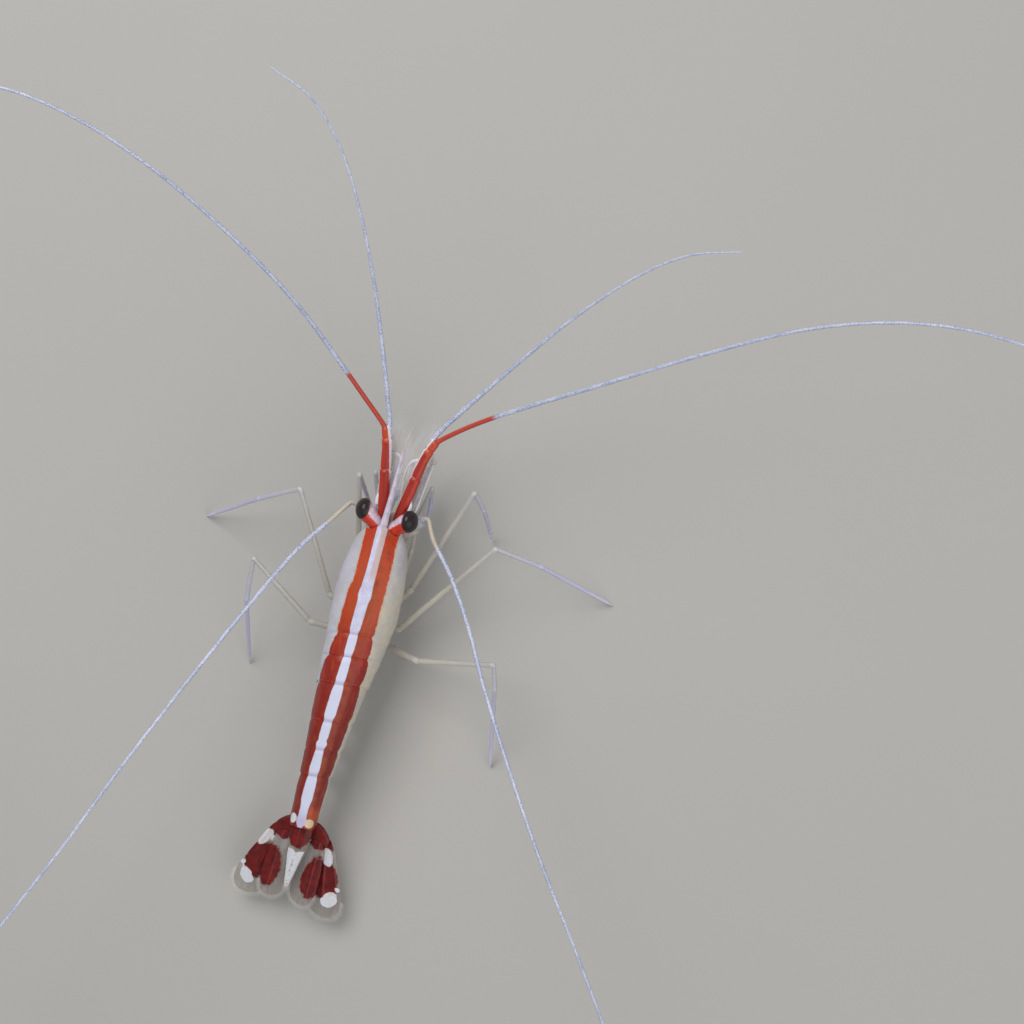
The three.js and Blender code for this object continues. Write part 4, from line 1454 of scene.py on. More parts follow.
@dataclass(frozen=True)
class Legs:
    """The ten walking legs and the third jaw-legs."""

    walking: tuple = (  # side, number, corners from the hip to the foot
        ("left", 3, ((1.7, 2.6, 4.9), (2.4, 1.9, 3.9), (3.3, -1.0, 4.6), (5.0, -11.5, 10.5),
                     (4.6, -9.9, 7.0), (3.7, -6.7, 0.1))),
        ("left", 4, ((1.7, 4.4, 4.9), (2.6, 4.4, 3.9), (5.6, 3.3, 5.0), (11.0, -7.9, 12.0),
                     (16.3, -5.3, 8.5), (24.0, -1.3, 0.1))),
        ("left", 5, ((1.7, 6.2, 4.9), (2.4, 7.0, 3.9), (6.8, 7.0, 6.0), (14.2, 1.5, 11.5),
                     (14.3, 6.6, 8.5), (13.7, 14.3, 0.1))),
        ("right", 3, ((-1.7, 2.6, 4.9), (-2.4, 1.9, 3.9), (-3.7, 0.0, 4.5), (-9.1, -13.1, 12.0),
                      (-10.3, -11.4, 9.5), (-10.8, -8.2, 0.1))),
        ("right", 4, ((-1.7, 4.4, 4.9), (-2.4, 4.9, 3.9), (-3.6, 5.0, 4.5), (-12.9, -7.5, 9.5),
                      (-18.3, -6.9, 6.5), (-26.9, -4.8, 0.1))),
        ("right", 5, ((-1.7, 6.2, 4.9), (-2.3, 7.2, 3.9), (-7.0, 7.9, 6.0), (-16.5, 5.6, 9.5),
                      (-17.2, 8.4, 8.0), (-18.1, 18.0, 0.1))),
    )
    radii: tuple = (0.56, 0.5, 0.4, 0.3, 0.27, 0.22)
    paired: tuple = (  # name, the left one
        ("leg_1", Limb(
            ((1.1, -0.6, 5.1), (1.25, -1.4, 4.1), (1.35, -5.0, 3.8), (1.6, -7.4, 5.0), (1.45, -9.2, 5.0),
             (1.08, -10.9, 4.38)),
            (0.5, 0.45, 0.36, 0.34, 0.42, 0.4), knee=4, fingers=0.8,
        )),
        ("leg_2", Limb(
            ((1.6, 1.0, 4.9), (2.2, 0.2, 3.9), (2.5, -4.5, 5.0), (2.5, -8.8, 6.6), (3.55, -12.3, 9.0),
             (3.35, -10.0, 5.6), (3.05, -8.1, 3.75)),
            (0.48, 0.42, 0.32, 0.28, 0.26, 0.26, 0.24), knee=4, fingers=0.75, annuli=20,
        )),
        ("maxilliped", Limb(
            ((0.75, -2.6, 5.4), (0.85, -3.4, 4.75), (1.1, -6.6, 6.2), (1.5, -10.5, 7.4),
             (1.75, -14.0, 6.4)),
            (0.48, 0.44, 0.36, 0.32, 0.26), claw=0.9, spinules=False,
        )),
    )
    tufts: tuple = (  # limb, hairs, share of its length where they start
        ("maxilliped_left", 170, 0.45), ("maxilliped_right", 170, 0.45),
        ("leg_1_left", 60, 0.7), ("leg_1_right", 60, 0.7),
    )

    def limbs(self) -> dict[str, Limb]:
        """Every limb by the name of its CAD node."""
        limbs = {f"leg_{number}_{side}": Limb(at, self.radii) for side, number, at in self.walking}
        for side, sign in SIDES.items():
            limbs.update({f"{name}_{side}": limb.on(sign) for name, limb in self.paired})
        return limbs

    def build(self) -> None:
        """Makes a piece of each limb."""
        finish = LimbFinish().material()
        for name, limb in self.limbs().items():
            make_piece(f"jointed_{name}", limb.form(), finish, "limb", name)

    def hair(self) -> Form:
        """Short hair on the jaw-legs and the first legs, leaning forwards and inwards."""
        rng = np.random.default_rng(11)
        limbs, forms = self.limbs(), []
        for number, (name, count, start) in enumerate(self.tufts):
            path, _ = limbs[name].path()
            share = start + (1 - start) * rng.random(count)
            rows = (share * (len(path) - 1)).astype(int)
            along = heading(path)[rows]
            turn = rng.normal(-np.pi / 2, 0.9, count)[:, None]
            across = unit(np.cross(along, UP))
            out = across * np.cos(turn) + np.cross(across, along) * np.sin(turn)
            lengths = 0.45 + 0.5 * rng.random(count)
            patch = np.column_stack([share, 0.12 + 0.25 * number + 0.03 * turn[:, 0]])
            roots = path[rows] + 0.24 * out
            forms.append(bristles(roots, out + 0.9 * along, lengths, 0.018, 0.3 * along, patch))
        return joined(forms)


@dataclass(frozen=True)
class Feeler:
    """One whip: a long ringed thread that tapers from its root.

    radii are those at the root and the tip, and until is the length of the root's own colour.
    """

    name: str
    radii: tuple[float, float]
    root: Colour
    streak: Colour
    until: float
    points: Knots
    ring: float = 0.3

    def build(self) -> None:
        """Makes the feeler; the radius bulges a little in each of its rings."""
        rough = spline(self.points, np.linspace(0, 1, 400))
        total = lengths_along(rough)[-1]
        rows = 3 * round(total / self.ring)
        share = np.linspace(0, 1, rows + 1)
        reach = share * total
        first, last = self.radii
        radius = (last + (first - last) * (1 - share) ** 1.4) * (1 - 0.25 * ease(share, 0.9, 1))
        groove = np.arange(rows + 1) % 3 == 0
        radius = radius * np.where(groove, 0.9, 1.03) * (1 + 0.25 * hill(reach, 0, 0.5))
        form = woven(
            ringed(spline(self.points, share), domed(radius, reach), 8), along=reach[:, None],
            ring=np.where(groove, 0.0, 0.5)[:, None], round_x=np.cos(turns(8)), round_y=np.sin(turns(8)),
        )
        finish = FlagellumFinish(f"whip_{self.name}", self.root, self.streak, self.until).material()
        slot, nodes = self.name.split("_")[0], (f"{self.name}_near", f"{self.name}_far")
        make_piece(f"whip_{self.name}", form, finish, slot, *nodes)


@dataclass(frozen=True)
class Feelers:
    """The six whips: the red-rooted and the white pairs of the antennules, and the antennae."""

    outer: tuple = ((0.3, 0.17), srgb(184, 54, 28), srgb(216, 92, 60))  # radii, root, streak
    inner: tuple = ((0.31, 0.13), srgb(222, 228, 244), srgb(222, 228, 244))
    antenna: tuple = ((0.28, 0.17), srgb(192, 188, 178), srgb(206, 166, 84))
    whips: tuple = (
        Feeler("antennule_outer_left", *outer, 8.0, (
            (2.95, -17.4, 13.1), (3.7, -18.15, 13.5), (6.15, -20.25, 14.6), (8.55, -22.35, 16.0),
            (15.25, -28.23, 22.0), (22.4, -32.85, 28.0), (31.91, -37.55, 34.0), (41.04, -40.48, 38.0),
            (49.8, -41.4, 40.0), (58.5, -39.8, 40.5),
        )),
        Feeler("antennule_outer_right", *outer, 8.5, (
            (-3.2, -17.35, 13.1), (-3.93, -18.03, 13.4), (-6.05, -19.7, 14.4), (-9.51, -22.04, 16.0),
            (-21.1, -28.6, 22.0), (-31.78, -34.51, 28.0), (-42.01, -39.65, 33.0), (-50.12, -42.45, 36.0),
            (-57.4, -43.9, 37.0), (-64.0, -44.2, 36.8), (-71.5, -43.4, 36.0),
        )),
        Feeler("antennule_inner_left", *inner, 0.5, (
            (2.65, -17.2, 13.0), (2.75, -18.4, 13.2), (3.5, -20.7, 14.0), (5.96, -28.06, 17.0),
            (8.18, -34.21, 20.0), (10.6, -39.8, 23.0), (14.18, -46.1, 26.0), (18.67, -50.59, 28.0),
            (24.0, -52.7, 29.0),
        )),
        Feeler("antennule_inner_right", *inner, 0.5, (
            (-2.75, -17.2, 13.0), (-3.1, -18.3, 13.2), (-7.07, -24.06, 15.0), (-11.87, -30.32, 18.0),
            (-16.52, -35.9, 21.0), (-22.22, -41.57, 24.0), (-27.3, -45.0, 26.0), (-32.9, -46.8, 27.0),
        )),
        Feeler("antenna_left", *antenna, 4.6, (
            (4.3, -8.0, 9.75), (5.0, -8.0, 10.1), (5.6, -7.2, 10.4), (6.7, -5.3, 11.0), (8.77, -1.52, 13.0),
            (12.09, 7.27, 17.0), (19.22, 26.96, 22.0), (23.4, 39.2, 24.0), (27.4, 49.5, 25.0),
            (31.5, 59.5, 25.2),
        )),
        Feeler("antenna_right", *antenna, 4.6, (
            (-3.7, -8.5, 9.75), (-4.4, -8.5, 10.15), (-4.9, -7.7, 10.5), (-5.7, -6.5, 10.9),
            (-9.2, -3.1, 13.0), (-13.21, 1.8, 15.5), (-17.63, 8.28, 18.0), (-24.38, 17.48, 21.0),
            (-30.22, 25.0, 23.0), (-36.47, 32.72, 24.0), (-41.68, 39.56, 24.0), (-47.5, 47.8, 23.2),
        )),
    )

    def build(self) -> None:
        """Makes the six whips."""
        for whip in self.whips:
            whip.build()


# ---------------- head


@dataclass(frozen=True)
class Head:
    """Eyes, stalks, antennule stems, antennal scales, antenna roots and mouthparts.

    A pair is for the left side and the right side, in that order.
    """

    eyes: tuple[Point, Point] = ((2.86, -7.72, 12.6), (-2.7, -7.74, 12.6))
    gazes: tuple[Point, Point] = ((0.94, 0.04, 0.33), (-0.96, -0.07, 0.26))
    stalk: Point = (1.35, -6.6, 12.05)
    across: float = 1.3
    deep: float = 1.0
    cut: float = -0.38
    stems: tuple = (
        ((0.7, -6.5, 11.35), (0.85, -8.2, 11.8), (1.33, -10.6, 12.1), (1.87, -13.45, 12.5),
         (2.43, -15.95, 12.8), (3.05, -17.75, 13.12)),
        ((-1.0, -6.5, 11.3), (-1.2, -8.2, 11.7), (-1.72, -11.0, 12.1), (-2.08, -13.9, 12.5),
         (-2.5, -15.75, 12.8), (-3.3, -17.75, 13.12)),
    )
    stem_joints: tuple[float, float] = (0.54, 0.85)
    scale_level: float = 10.54
    scale_outline: tuple = (
        (1.2, -7.4), (0.8, -9.0), (0.35, -11.2), (0.2, -13.0), (0.55, -14.5), (1.35, -15.1),
        (2.3, -15.0), (3.0, -14.75), (3.42, -14.95), (3.3, -14.0), (3.1, -11.6), (2.85, -9.2),
        (2.3, -7.5),
    )
    narrowness: tuple[float, float] = (0.76, 1.0)
    antennae: tuple = (
        ((1.9, -6.0, 8.8), (2.9, -6.9, 8.9), (3.85, -7.7, 9.4), (4.5, -8.1, 9.85)),
        ((-1.9, -6.0, 8.8), (-2.8, -7.1, 8.9), (-3.45, -8.0, 9.4), (-3.9, -8.6, 9.85)),
    )

    def build(self) -> None:
        """Makes all the pieces of the head on both sides."""
        limb = LimbFinish().material()
        clear = BladeFinish("antennal_scale").material()
        kinds = (  # piece, its maker, finish, slot, CAD node
            ("cornea", self.cornea, CorneaFinish().material(), "eye", "eye"),
            ("stalk", self.eyestalk, StalkFinish().material(), "eyestalk", "eyestalk"),
            ("stem", self.stem, PeduncleFinish().material(), "antennule_base", "antennule_peduncle"),
            ("scale", self.scale, clear, "clear_blade", "antennal_scale"),
            ("root", self.antenna_root, limb, "antenna", "antenna_peduncle"),
        )
        for side, sign in SIDES.items():
            for piece, maker, finish, slot, node in kinds:
                make_piece(f"{piece}_{side}", maker(sign), finish, slot, f"{node}_{side}")
        make_piece("jaws", self.jaws(), limb, "limb", "mouthparts")

    def cornea(self, sign: float) -> Form:
        """The eye: an ellipsoid about its gaze, cut off behind and lipped inwards."""
        along = unit(np.array(self.gazes[sign < 0]))
        last = math.acos(self.cut / self.deep)
        polar = np.linspace(0.02, last, 44)
        heights = np.concatenate([self.deep * np.cos(polar), self.cut + np.linspace(-0.03, 0.1, 6)])
        lip = np.linspace(0.99, 0.8, 6) * self.across * math.sin(last)
        radii = np.concatenate([self.across * np.sin(polar), lip])
        path = np.array(self.eyes[sign < 0]) + heights[:, None] * along
        return woven(ringed(path, radii, 48, 1.0, UP, along), rim=(heights - self.cut)[:, None])

    def eyestalk(self, sign: float) -> Form:
        """The stalk: it widens to the eye and rounds off inside it."""
        centre = np.array(self.eyes[sign < 0])
        along = unit(centre - np.array(self.stalk) * [sign, 1, 1])
        share = 0.5 - 0.5 * np.cos(np.pi * np.linspace(0, 1, 50))
        behind, inside = 3.2, 0.7
        reach = share * (behind + inside)
        path = centre + (reach - behind)[:, None] * along
        knots = ((0, 0.85), (0.3, 0.9), (0.5, 1.0), (0.66, 1.1), (0.78, 1.02), (1.0, 0.8))
        radius = through(knots, share) * (1 - 0.05 * hill(share, 0.42, 0.03))
        grid = ringed(path, domed(radius, reach), 40, 1.0, UP, along)
        rear = unit(np.array([0.0, 1.0, 0.15]) - along * along[1])
        middle = len(path) // 2
        return woven(grid, rearwards=unit(grid[middle] - path[middle]) @ rear)

    def stem(self, sign: float) -> Form:
        """The antennule's three-segment stem, which bears a small scale at its root."""
        share = np.linspace(0, 1, 150)
        path = spline(self.stems[sign < 0], share)
        knots = ((0, 0.5), (0.2, 0.6), (0.45, 0.64), (0.6, 0.63), (0.8, 0.58), (1.0, 0.53))
        gaps = share[:, None] - np.array(self.stem_joints)
        swell = hill(gaps, -0.012, 0.03).sum(-1)
        pinch = hill(gaps, 0.02, 0.012).sum(-1)
        radius = through(knots, share) * (1 + 0.09 * swell - 0.14 * pinch)
        grid = ringed(path, domed(radius, lengths_along(path)), 28, 0.86, UP)
        inner = -sign * (grid[..., 0] - path[:, :1]) / radius[:, None]
        body = woven(grid, inner=inner, reach=share[:, None], joint=pinch[:, None])
        outer = path[34] + np.array([sign * 0.75, 0.5, -0.05])
        spike = [outer, outer + [sign * 0.1, -0.9, 0.1], outer - [sign * 0.18, 1.9, -0.3]]
        prong = lobe(spike, [0.22, 0.2, 0.06], 0.6, values={"inner": 1.0, "reach": 1.0})
        return joined([body, prong, self.spurs(path, radius)])

    def spurs(self, path: Array, radius: Array) -> Form:
        """Small spines at the end of each segment of the stem."""
        rows = [round((len(path) - 1) * joint) for joint in self.stem_joints]
        along = heading(path)[rows]
        across = unit(np.cross(along, UP))
        roots = np.vstack([path[rows] + side * across * radius[rows, None] for side in (0.9, -0.9)])
        pointing = np.vstack([along + 0.5 * across, along - 0.5 * across])
        return bristles(roots, pointing, np.full(4, 0.3), 0.06, 0 * pointing, reach=0.9)

    def scale_edge(self, sign: float) -> Array:
        """The edge of one antennal scale; the left one is rolled, so that it looks narrower."""
        u, v = np.array(self.scale_outline).T
        return np.column_stack([sign * (0.2 + self.narrowness[sign < 0] * (u - 0.2)), v])

    def scale(self, sign: float) -> Form:
        """The antennal scale: a ribbed blade with a tooth at its outer front corner, on a stub."""
        outline = spline(self.scale_edge(sign), np.arange(150) / 150, closed=True)
        plane = Plane((0, 0, self.scale_level), (1, 0, 0), (0, 1, -0.07))

        def relief(u: Array, v: Array) -> Array:
            """Ribs that fan out forwards, and a stiff outer edge."""
            side = sign * u
            fan = (side - 1.9) / (1 + 0.12 * (-7.5 - v))
            ribs = 0.02 * np.cos(2 * np.pi * fan / 0.34)
            edge = 0.1 * hill(side, 2.9 + 0.05 * (-9 - v), 0.14)
            return ribs + edge - 0.3 - 0.09 * (side - 1.8) ** 2

        blade = leaf(plane, outline, 0.16, relief, 26)
        path = [(sign * 1.75, -5.7, 9.6), (sign * 1.9, -6.8, 10.0), (sign * 1.8, -8.1, 10.45)]
        return joined([blade, lobe(path, [0.75, 0.78, 0.5], 0.75, UP, {"rim": 0.3})])

    def antenna_root(self, sign: float) -> Form:
        """The antenna's stem: three short segments."""
        points = self.antennae[sign < 0]
        return Limb(points, (0.72, 0.7, 0.52, 0.4), knee=2, claw=0.01, spinules=False).form()

    def jaws(self) -> Form:
        """Upper lip, a pair of jaws and two pairs of leaf-like palps around the mouth."""
        lobes = [lobe([(0, -7.3, 9.7), (0, -7.75, 9.2), (0, -7.5, 8.5)], [0.4, 0.5, 0.3])]
        for sign in SIDES.values():
            jaw = [(sign * 0.75, -6.3, 9.5), (sign * 0.62, -7.0, 8.9), (sign * 0.2, -7.2, 8.4)]
            palp = [(sign * 0.95, -5.9, 8.4), (sign * 0.85, -6.9, 8.2), (sign * 0.35, -7.6, 8.0)]
            leaflet = [(sign * 1.2, -5.2, 7.7), (sign * 1.1, -6.4, 7.5), (sign * 0.6, -7.5, 7.4)]
            lobes.append(lobe(jaw, [0.4, 0.42, 0.24]))
            lobes.append(lobe(palp, [0.34, 0.4, 0.2], 0.45, UP))
            lobes.append(lobe(leaflet, [0.38, 0.5, 0.22], 0.35, UP))
        return joined(lobes)

    def fringe(self) -> Form:
        """Long feathery hair round the front and inner edge of both scales."""
        rng = np.random.default_rng(5)
        count, forms = 190, []
        share = np.linspace(0, 1, count)
        for sign in SIDES.values():
            mirror = np.array([sign, 1])
            outline = spline(self.scale_edge(sign), np.linspace(0.14, 0.6, count)) * mirror
            out = beside(outline) * mirror
            lengths = (0.7 + 3.5 * hill(share, 0.78, 0.2)) * (0.8 + 0.35 * rng.random(count))
            roots = np.column_stack([outline * mirror, 10.05 - 0.07 * outline[:, 1]])
            stray = 0.08 * rng.normal(size=(count, 2))
            ahead = -1.1 - 2.0 * ease(share, 0.4, 0.7)
            lean = np.column_stack([out[:, 0] + stray[:, 0], out[:, 1] + ahead, stray[:, 1]])
            curl = np.column_stack([0 * share, 0 * share - 0.2, 0.1 * rng.normal(size=count)])
            patch = np.column_stack([0.5 + sign * outline[:, 0] / 9, -outline[:, 1] / 18])
            forms.append(bristles(roots, lean, lengths, 0.022, curl, patch))
        return joined(forms)


# ---------------- swimmerets and tail


@dataclass(frozen=True)
class Swimmerets:
    """Five pairs of swimmerets: a stalk and two fringed leaves each."""

    trunk: Trunk = Trunk()
    joints: tuple = (7.1, 9.3, 12.6, 17.2, 20.7, 23.9)
    outwards: float = 0.26
    shift: float = 0.3
    level: float = 5.1
    leaf: tuple = (
        (0.0, 0.0), (0.34, 0.5), (0.5, 1.3), (0.38, 2.2), (0.05, 2.75), (-0.3, 2.2), (-0.42, 1.3),
        (-0.28, 0.5),
    )

    def places(self) -> list[tuple[str, float, Array]]:
        """The node name, the side and the hip of each swimmeret."""
        spots = []
        for pair, (front, rear) in enumerate(zip(self.joints, self.joints[1:])):
            y = np.array(0.5 * (front + rear))
            middle = self.trunk.midline(y) + self.shift + 0.06 * pair
            out = self.outwards * (self.trunk.half_width(y) - 0.15)
            for side, sign in SIDES.items():
                hip = np.array([middle + sign * out, y, self.level])
                spots.append((f"pleopod_{pair + 1}_{side}", sign, hip))
        return spots

    def blades(self, sign: float, hip: Array) -> list[tuple[Plane, Array]]:
        """The planes and outlines of the two leaves that hang from a hip."""
        foot = hip + [0, 0.35, -2.15]
        outline = spline(self.leaf, np.arange(80) / 80, closed=True)
        outer = Plane(tuple(foot + [sign * 0.16, 0, 0.1]), (1, 0, 0.6 * sign), (sign * 0.06, 1, -0.42))
        inner = Plane(tuple(foot + [-sign * 0.1, 0, -0.1]), (1, 0, 0.2 * sign), (0, 1, -0.5))
        return [(outer, outline), (inner, outline * [0.85, 0.92])]

    @staticmethod
    def relief(u: Array, v: Array) -> Array:
        """A leaf cupped across and a little along."""
        return 0.1 - 0.5 * u * u - 0.02 * v * v

    def build(self) -> None:
        """Makes the ten swimmerets."""
        finish = BladeFinish("swimmeret", faintness=0.5).material()
        for node, sign, hip in self.places():
            path = [hip, hip + [0, 0.12, -1.0], hip + [0, 0.45, -2.3]]
            stalk = lobe(path, [0.42, 0.5, 0.36], 0.7, np.array([0.0, 1.0, 0.0]), {"rim": 0.3})
            leaves = [leaf(plane, line, 0.16, self.relief, 12) for plane, line in self.blades(sign, hip)]
            make_piece(f"fringed_{node}", joined([stalk, *leaves]), finish, "swimmeret", node)

    def fringe(self) -> Form:
        """Hair round the lower half of every leaf."""
        rng = np.random.default_rng(7)
        count, forms = 46, []
        for number, (_, sign, hip) in enumerate(self.places()):
            for plane, outline in self.blades(sign, hip):
                edge = respaced(np.vstack([outline, outline[:1]]), np.linspace(0.1, 0.9, count))
                out = beside(edge)
                out *= np.sign((out * (edge - edge.mean(0))).sum())
                u, v = edge.T
                roots = plane.place(0.97 * u, 0.97 * v, self.relief(u, v))
                pointing = plane.lean(out[:, 0], out[:, 1] + 0.5)
                patch = np.column_stack([0.05 + 0.09 * number + 0.06 * u, v / 3])
                lengths = 0.45 + 0.3 * rng.random(count)
                forms.append(bristles(roots, pointing, lengths, 0.016, 0.1 * pointing, patch))
        return joined(forms)


@dataclass(frozen=True)
class TailFan:
    """Telson and uropods, in a sloping plane: u to the left, v to the rear, w up from it."""

    at: Point = (0.4, 30.32, 7.35)
    pitch: float = -15.6
    yaw: float = -2.5
    right_size: float = 0.985
    base: tuple = (
        (0.6, -0.5), (1.8, -0.4), (2.8, 0.3), (3.45, 1.25), (3.3, 2.0), (2.5, 2.4), (1.5, 2.1), (0.7, 1.2),
    )
    inner: tuple = (
        (1.4, 1.7), (0.95, 3.6), (0.62, 5.6), (0.35, 7.7), (0.4, 9.0), (1.0, 9.9), (2.1, 10.3),
        (3.0, 10.0), (3.5, 8.6), (3.55, 6.4), (3.3, 4.0), (2.7, 1.8),
    )
    outer: tuple = (
        (2.3, 1.5), (2.25, 3.4), (2.4, 5.6), (2.6, 8.2), (2.85, 9.9), (3.6, 10.8), (4.95, 11.15),
        (6.15, 10.9), (6.76, 9.9), (6.66, 8.4), (6.12, 6.9), (5.16, 4.6), (4.2, 2.4), (3.4, 1.3),
    )
    telson: tuple = (
        (0.0, -0.75), (0.9, -0.6), (1.3, 0.2), (1.32, 1.5), (1.12, 3.3), (0.75, 5.6), (0.36, 7.75),
        (0.0, 8.1), (-0.36, 7.75), (-0.75, 5.6), (-1.12, 3.3), (-1.32, 1.5), (-1.3, 0.2), (-0.9, -0.6),
    )
    red: tuple = (  # the telson's red marks, then the left and the right uropod's, blade by blade
        (Oval(-0.03, 0.85, 1.5, 1.9),),
        (Oval(2.2, 1.0, 2.2, 2.2),),
        (Oval(2.2, 1.2, 1.6, 1.5), Oval(2.87, 6.45, 1.5, 2.75, 6)),
        (Oval(2.9, 1.1, 1.9, 1.8), Oval(4.5, 6.75, 1.5, 2.4, -8), Oval(3.8, 6.4, 1.3, 2.3, -6)),
        (Oval(-2.2, 1.0, 2.2, 2.2),),
        (Oval(-2.2, 1.1, 1.6, 1.5), Oval(-2.9, 6.25, 1.56, 2.8, -5)),
        (Oval(-2.7, 1.0, 1.9, 1.8), Oval(-4.2, 6.4, 1.55, 2.5, 12), Oval(-3.5, 6.2, 1.3, 2.4, 6)),
    )
    white_left: tuple = (  # the white marks of the outer blades
        Oval(4.32, 3.5, 0.64, 1.25, -27), Oval(3.35, 3.4, 0.4, 0.3, 40), Oval(5.35, 9.0, 0.74, 1.0, 24),
        Oval(5.1, 9.35, 0.8, 0.6, 10), Oval(6.12, 7.55, 0.36, 0.26, 40), Oval(5.98, 8.0, 0.12, 0.5, 20),
    )
    white_right: tuple = (
        Oval(-3.62, 3.45, 0.66, 1.15, 24), Oval(-2.95, 3.3, 0.42, 0.32, -40),
        Oval(-5.25, 8.5, 0.86, 1.05, -24), Oval(-4.9, 8.95, 0.8, 0.6, -10),
        Oval(-5.8, 7.0, 0.36, 0.24, -30),
    )

    def plane(self, level: float) -> Plane:
        """The fan's plane at a level, turned about z by the yaw and then about x by the pitch."""
        pitch, yaw = math.radians(self.pitch), math.radians(self.yaw)
        tilt = np.array([
            [1, 0, 0], [0, math.cos(pitch), -math.sin(pitch)], [0, math.sin(pitch), math.cos(pitch)],
        ])
        across = tilt @ [math.cos(yaw), math.sin(yaw), 0]
        along = tilt @ [-math.sin(yaw), math.cos(yaw), 0]
        origin = np.array(self.at) + level * np.cross(across, along)
        return Plane(tuple(origin), tuple(across), tuple(along))

    def blades(self) -> tuple:
        """Name, outline, level, thickness, rings and relief of a uropod's blades."""
        return (
            ("base", self.base, -1.2, 0.6, 22, self.base_relief),
            ("inner", self.inner, -0.86, 0.16, 30, self.inner_relief),
            ("outer", self.outer, -1.62, 0.18, 34, self.outer_relief),
        )

    def build(self) -> None:
        """Makes the telson and the three pieces of each uropod."""
        white = {"uropod_outer_left": self.white_left, "uropod_outer_right": self.white_right}
        for (node, form), ovals in zip(self.forms().items(), self.red):
            marks = [(Mark.RED, oval) for oval in ovals]
            marks += [(Mark.WHITE, oval) for oval in white.get(node, ())]
            finish = TailFinish(node, tuple(marks), tapering=node == "telson").material()
            make_piece(f"fan_{node}", form, finish, "tail_fan", node)

    def flip(self, sign: float) -> Array:
        """What an outline on the left is multiplied by for the side of the sign."""
        return np.array([sign, 1]) * (1.0 if sign > 0 else self.right_size)

    def forms(self) -> dict[str, Form]:
        """The seven pieces by the names of their CAD nodes."""
        share = np.arange(200) / 200
        middle = spline(self.telson, share, closed=True)
        forms = {"telson": leaf(self.plane(0.0), middle, 0.6, self.telson_relief, 24)}
        for side, sign in SIDES.items():
            for name, line, level, thickness, rings, relief in self.blades():
                outline = spline(np.array(line) * self.flip(sign), share, closed=True)
                forms[f"uropod_{name}_{side}"] = leaf(self.plane(level), outline, thickness, relief, rings)
        return forms

    @staticmethod
    def telson_relief(u: Array, v: Array) -> Array:
        """A domed plate with a shallow groove along its middle and two low keels."""
        half = 1.35 - 0.115 * np.maximum(v, 0)
        dome = 0.14 * (1 - (u / half) ** 2)
        return dome - 0.06 * hill(u, 0, 0.16) + 0.04 * hill(np.abs(u), 0.5 * half, 0.12)

    @staticmethod
    def base_relief(_: Array, v: Array) -> Array:
        """Low swells across a uropod's root."""
        return 0.04 * np.cos(2 * v)

    @staticmethod
    def inner_relief(u: Array, v: Array) -> Array:
        """A midrib, and fine ribs that fan out from the root."""
        side = np.abs(u) - 2.3
        fan = side / (0.6 + 0.09 * np.maximum(v, 0))
        ribs = 0.014 * np.cos(2 * np.pi * fan / 0.16) * ease(v, 3, 6)
        return 0.09 * hill(side - 0.02 * v, 0, 0.14) + ribs - 0.04 * side**2

    @staticmethod
    def outer_relief(u: Array, v: Array) -> Array:
        """A midrib, a stiff outer edge, a suture across the end and fine ribs beyond it."""
        side = np.abs(u)
        midrib = 0.1 * hill(side - 3.1 - 0.2 * (v - 2.6), 0, 0.16)
        edge = 0.09 * hill(side - 3.95 - 0.375 * (v - 2.4), 0, 0.14) * ease(v, 8.0, 7.2)
        suture = -0.07 * hill(v - 7.85 - 0.22 * (side - 5), 0, 0.08) * ease(side, 3.4, 4.2)
        fan = (side - 3.0) / (0.5 + 0.1 * np.maximum(v, 0))
        ribs = 0.016 * np.cos(2 * np.pi * fan / 0.15) * ease(v, 5.5, 8.5)
        return midrib + edge + suture + ribs - 0.03 * (side - 4.6) ** 2

    def fringe(self) -> Form:
        """Hair along the rear edges of the blades and at the telson's tip."""
        rng = np.random.default_rng(3)
        ends, counts, forms = (0.6, 0.62), (150, 180), []
        for sign in SIDES.values():
            for (_, line, level, _, _, relief), end, count in zip(self.blades()[1:], ends, counts):
                closed = np.vstack([line, line[:1]]) * self.flip(sign)
                edge = spline(closed, np.linspace(0.2, end, count))
                out = beside(edge)
                out = out * np.sign(((edge - closed.mean(0)) * out).sum(-1, keepdims=True))
                forms.append(self.tuft(edge, out, level, relief, 0.6, rng))
        across = np.linspace(-1, 1, 14)
        tip = np.column_stack([0.3 * across, 7.95 - 0.15 * across**2])
        out = unit(np.column_stack([tip[:, 0] * 0.8, np.ones(14)]))
        forms.append(self.tuft(tip, out, 0.0, self.telson_relief, 0.7, rng))
        return joined(forms)

    def tuft(
        self, edge: Array, out: Array, level: float, relief: Callable[[Array, Array], Array],
        length: float, rng: np.random.Generator,
    ) -> Form:
        """Hair that stands outwards in the fan's plane from places on a blade's edge.

        Args:
            edge: The places, in the plane.
            out: The direction outwards at each.
            level: The blade's level.
            relief: Height of the blade's mid surface at u and v.
            length: Length of the hair, before each is cut a little longer or shorter.
            rng: Where the differences between the hairs come from.

        Returns:
            The hair.
        """
        plane = self.plane(level)
        u, v = (edge - 0.06 * out).T
        stray = 0.06 * rng.normal(size=len(edge))
        pointing = plane.lean(out[:, 0], out[:, 1] + 0.5, stray)
        lengths = length * (0.75 + 0.4 * rng.random(len(edge)))
        patch = np.column_stack([0.5 + edge[:, 0] / 16, 0.05 + edge[:, 1] / 13])
        return bristles(plane.place(u, v, relief(u, v)), pointing, lengths, 0.02, 0.1 * pointing, patch)


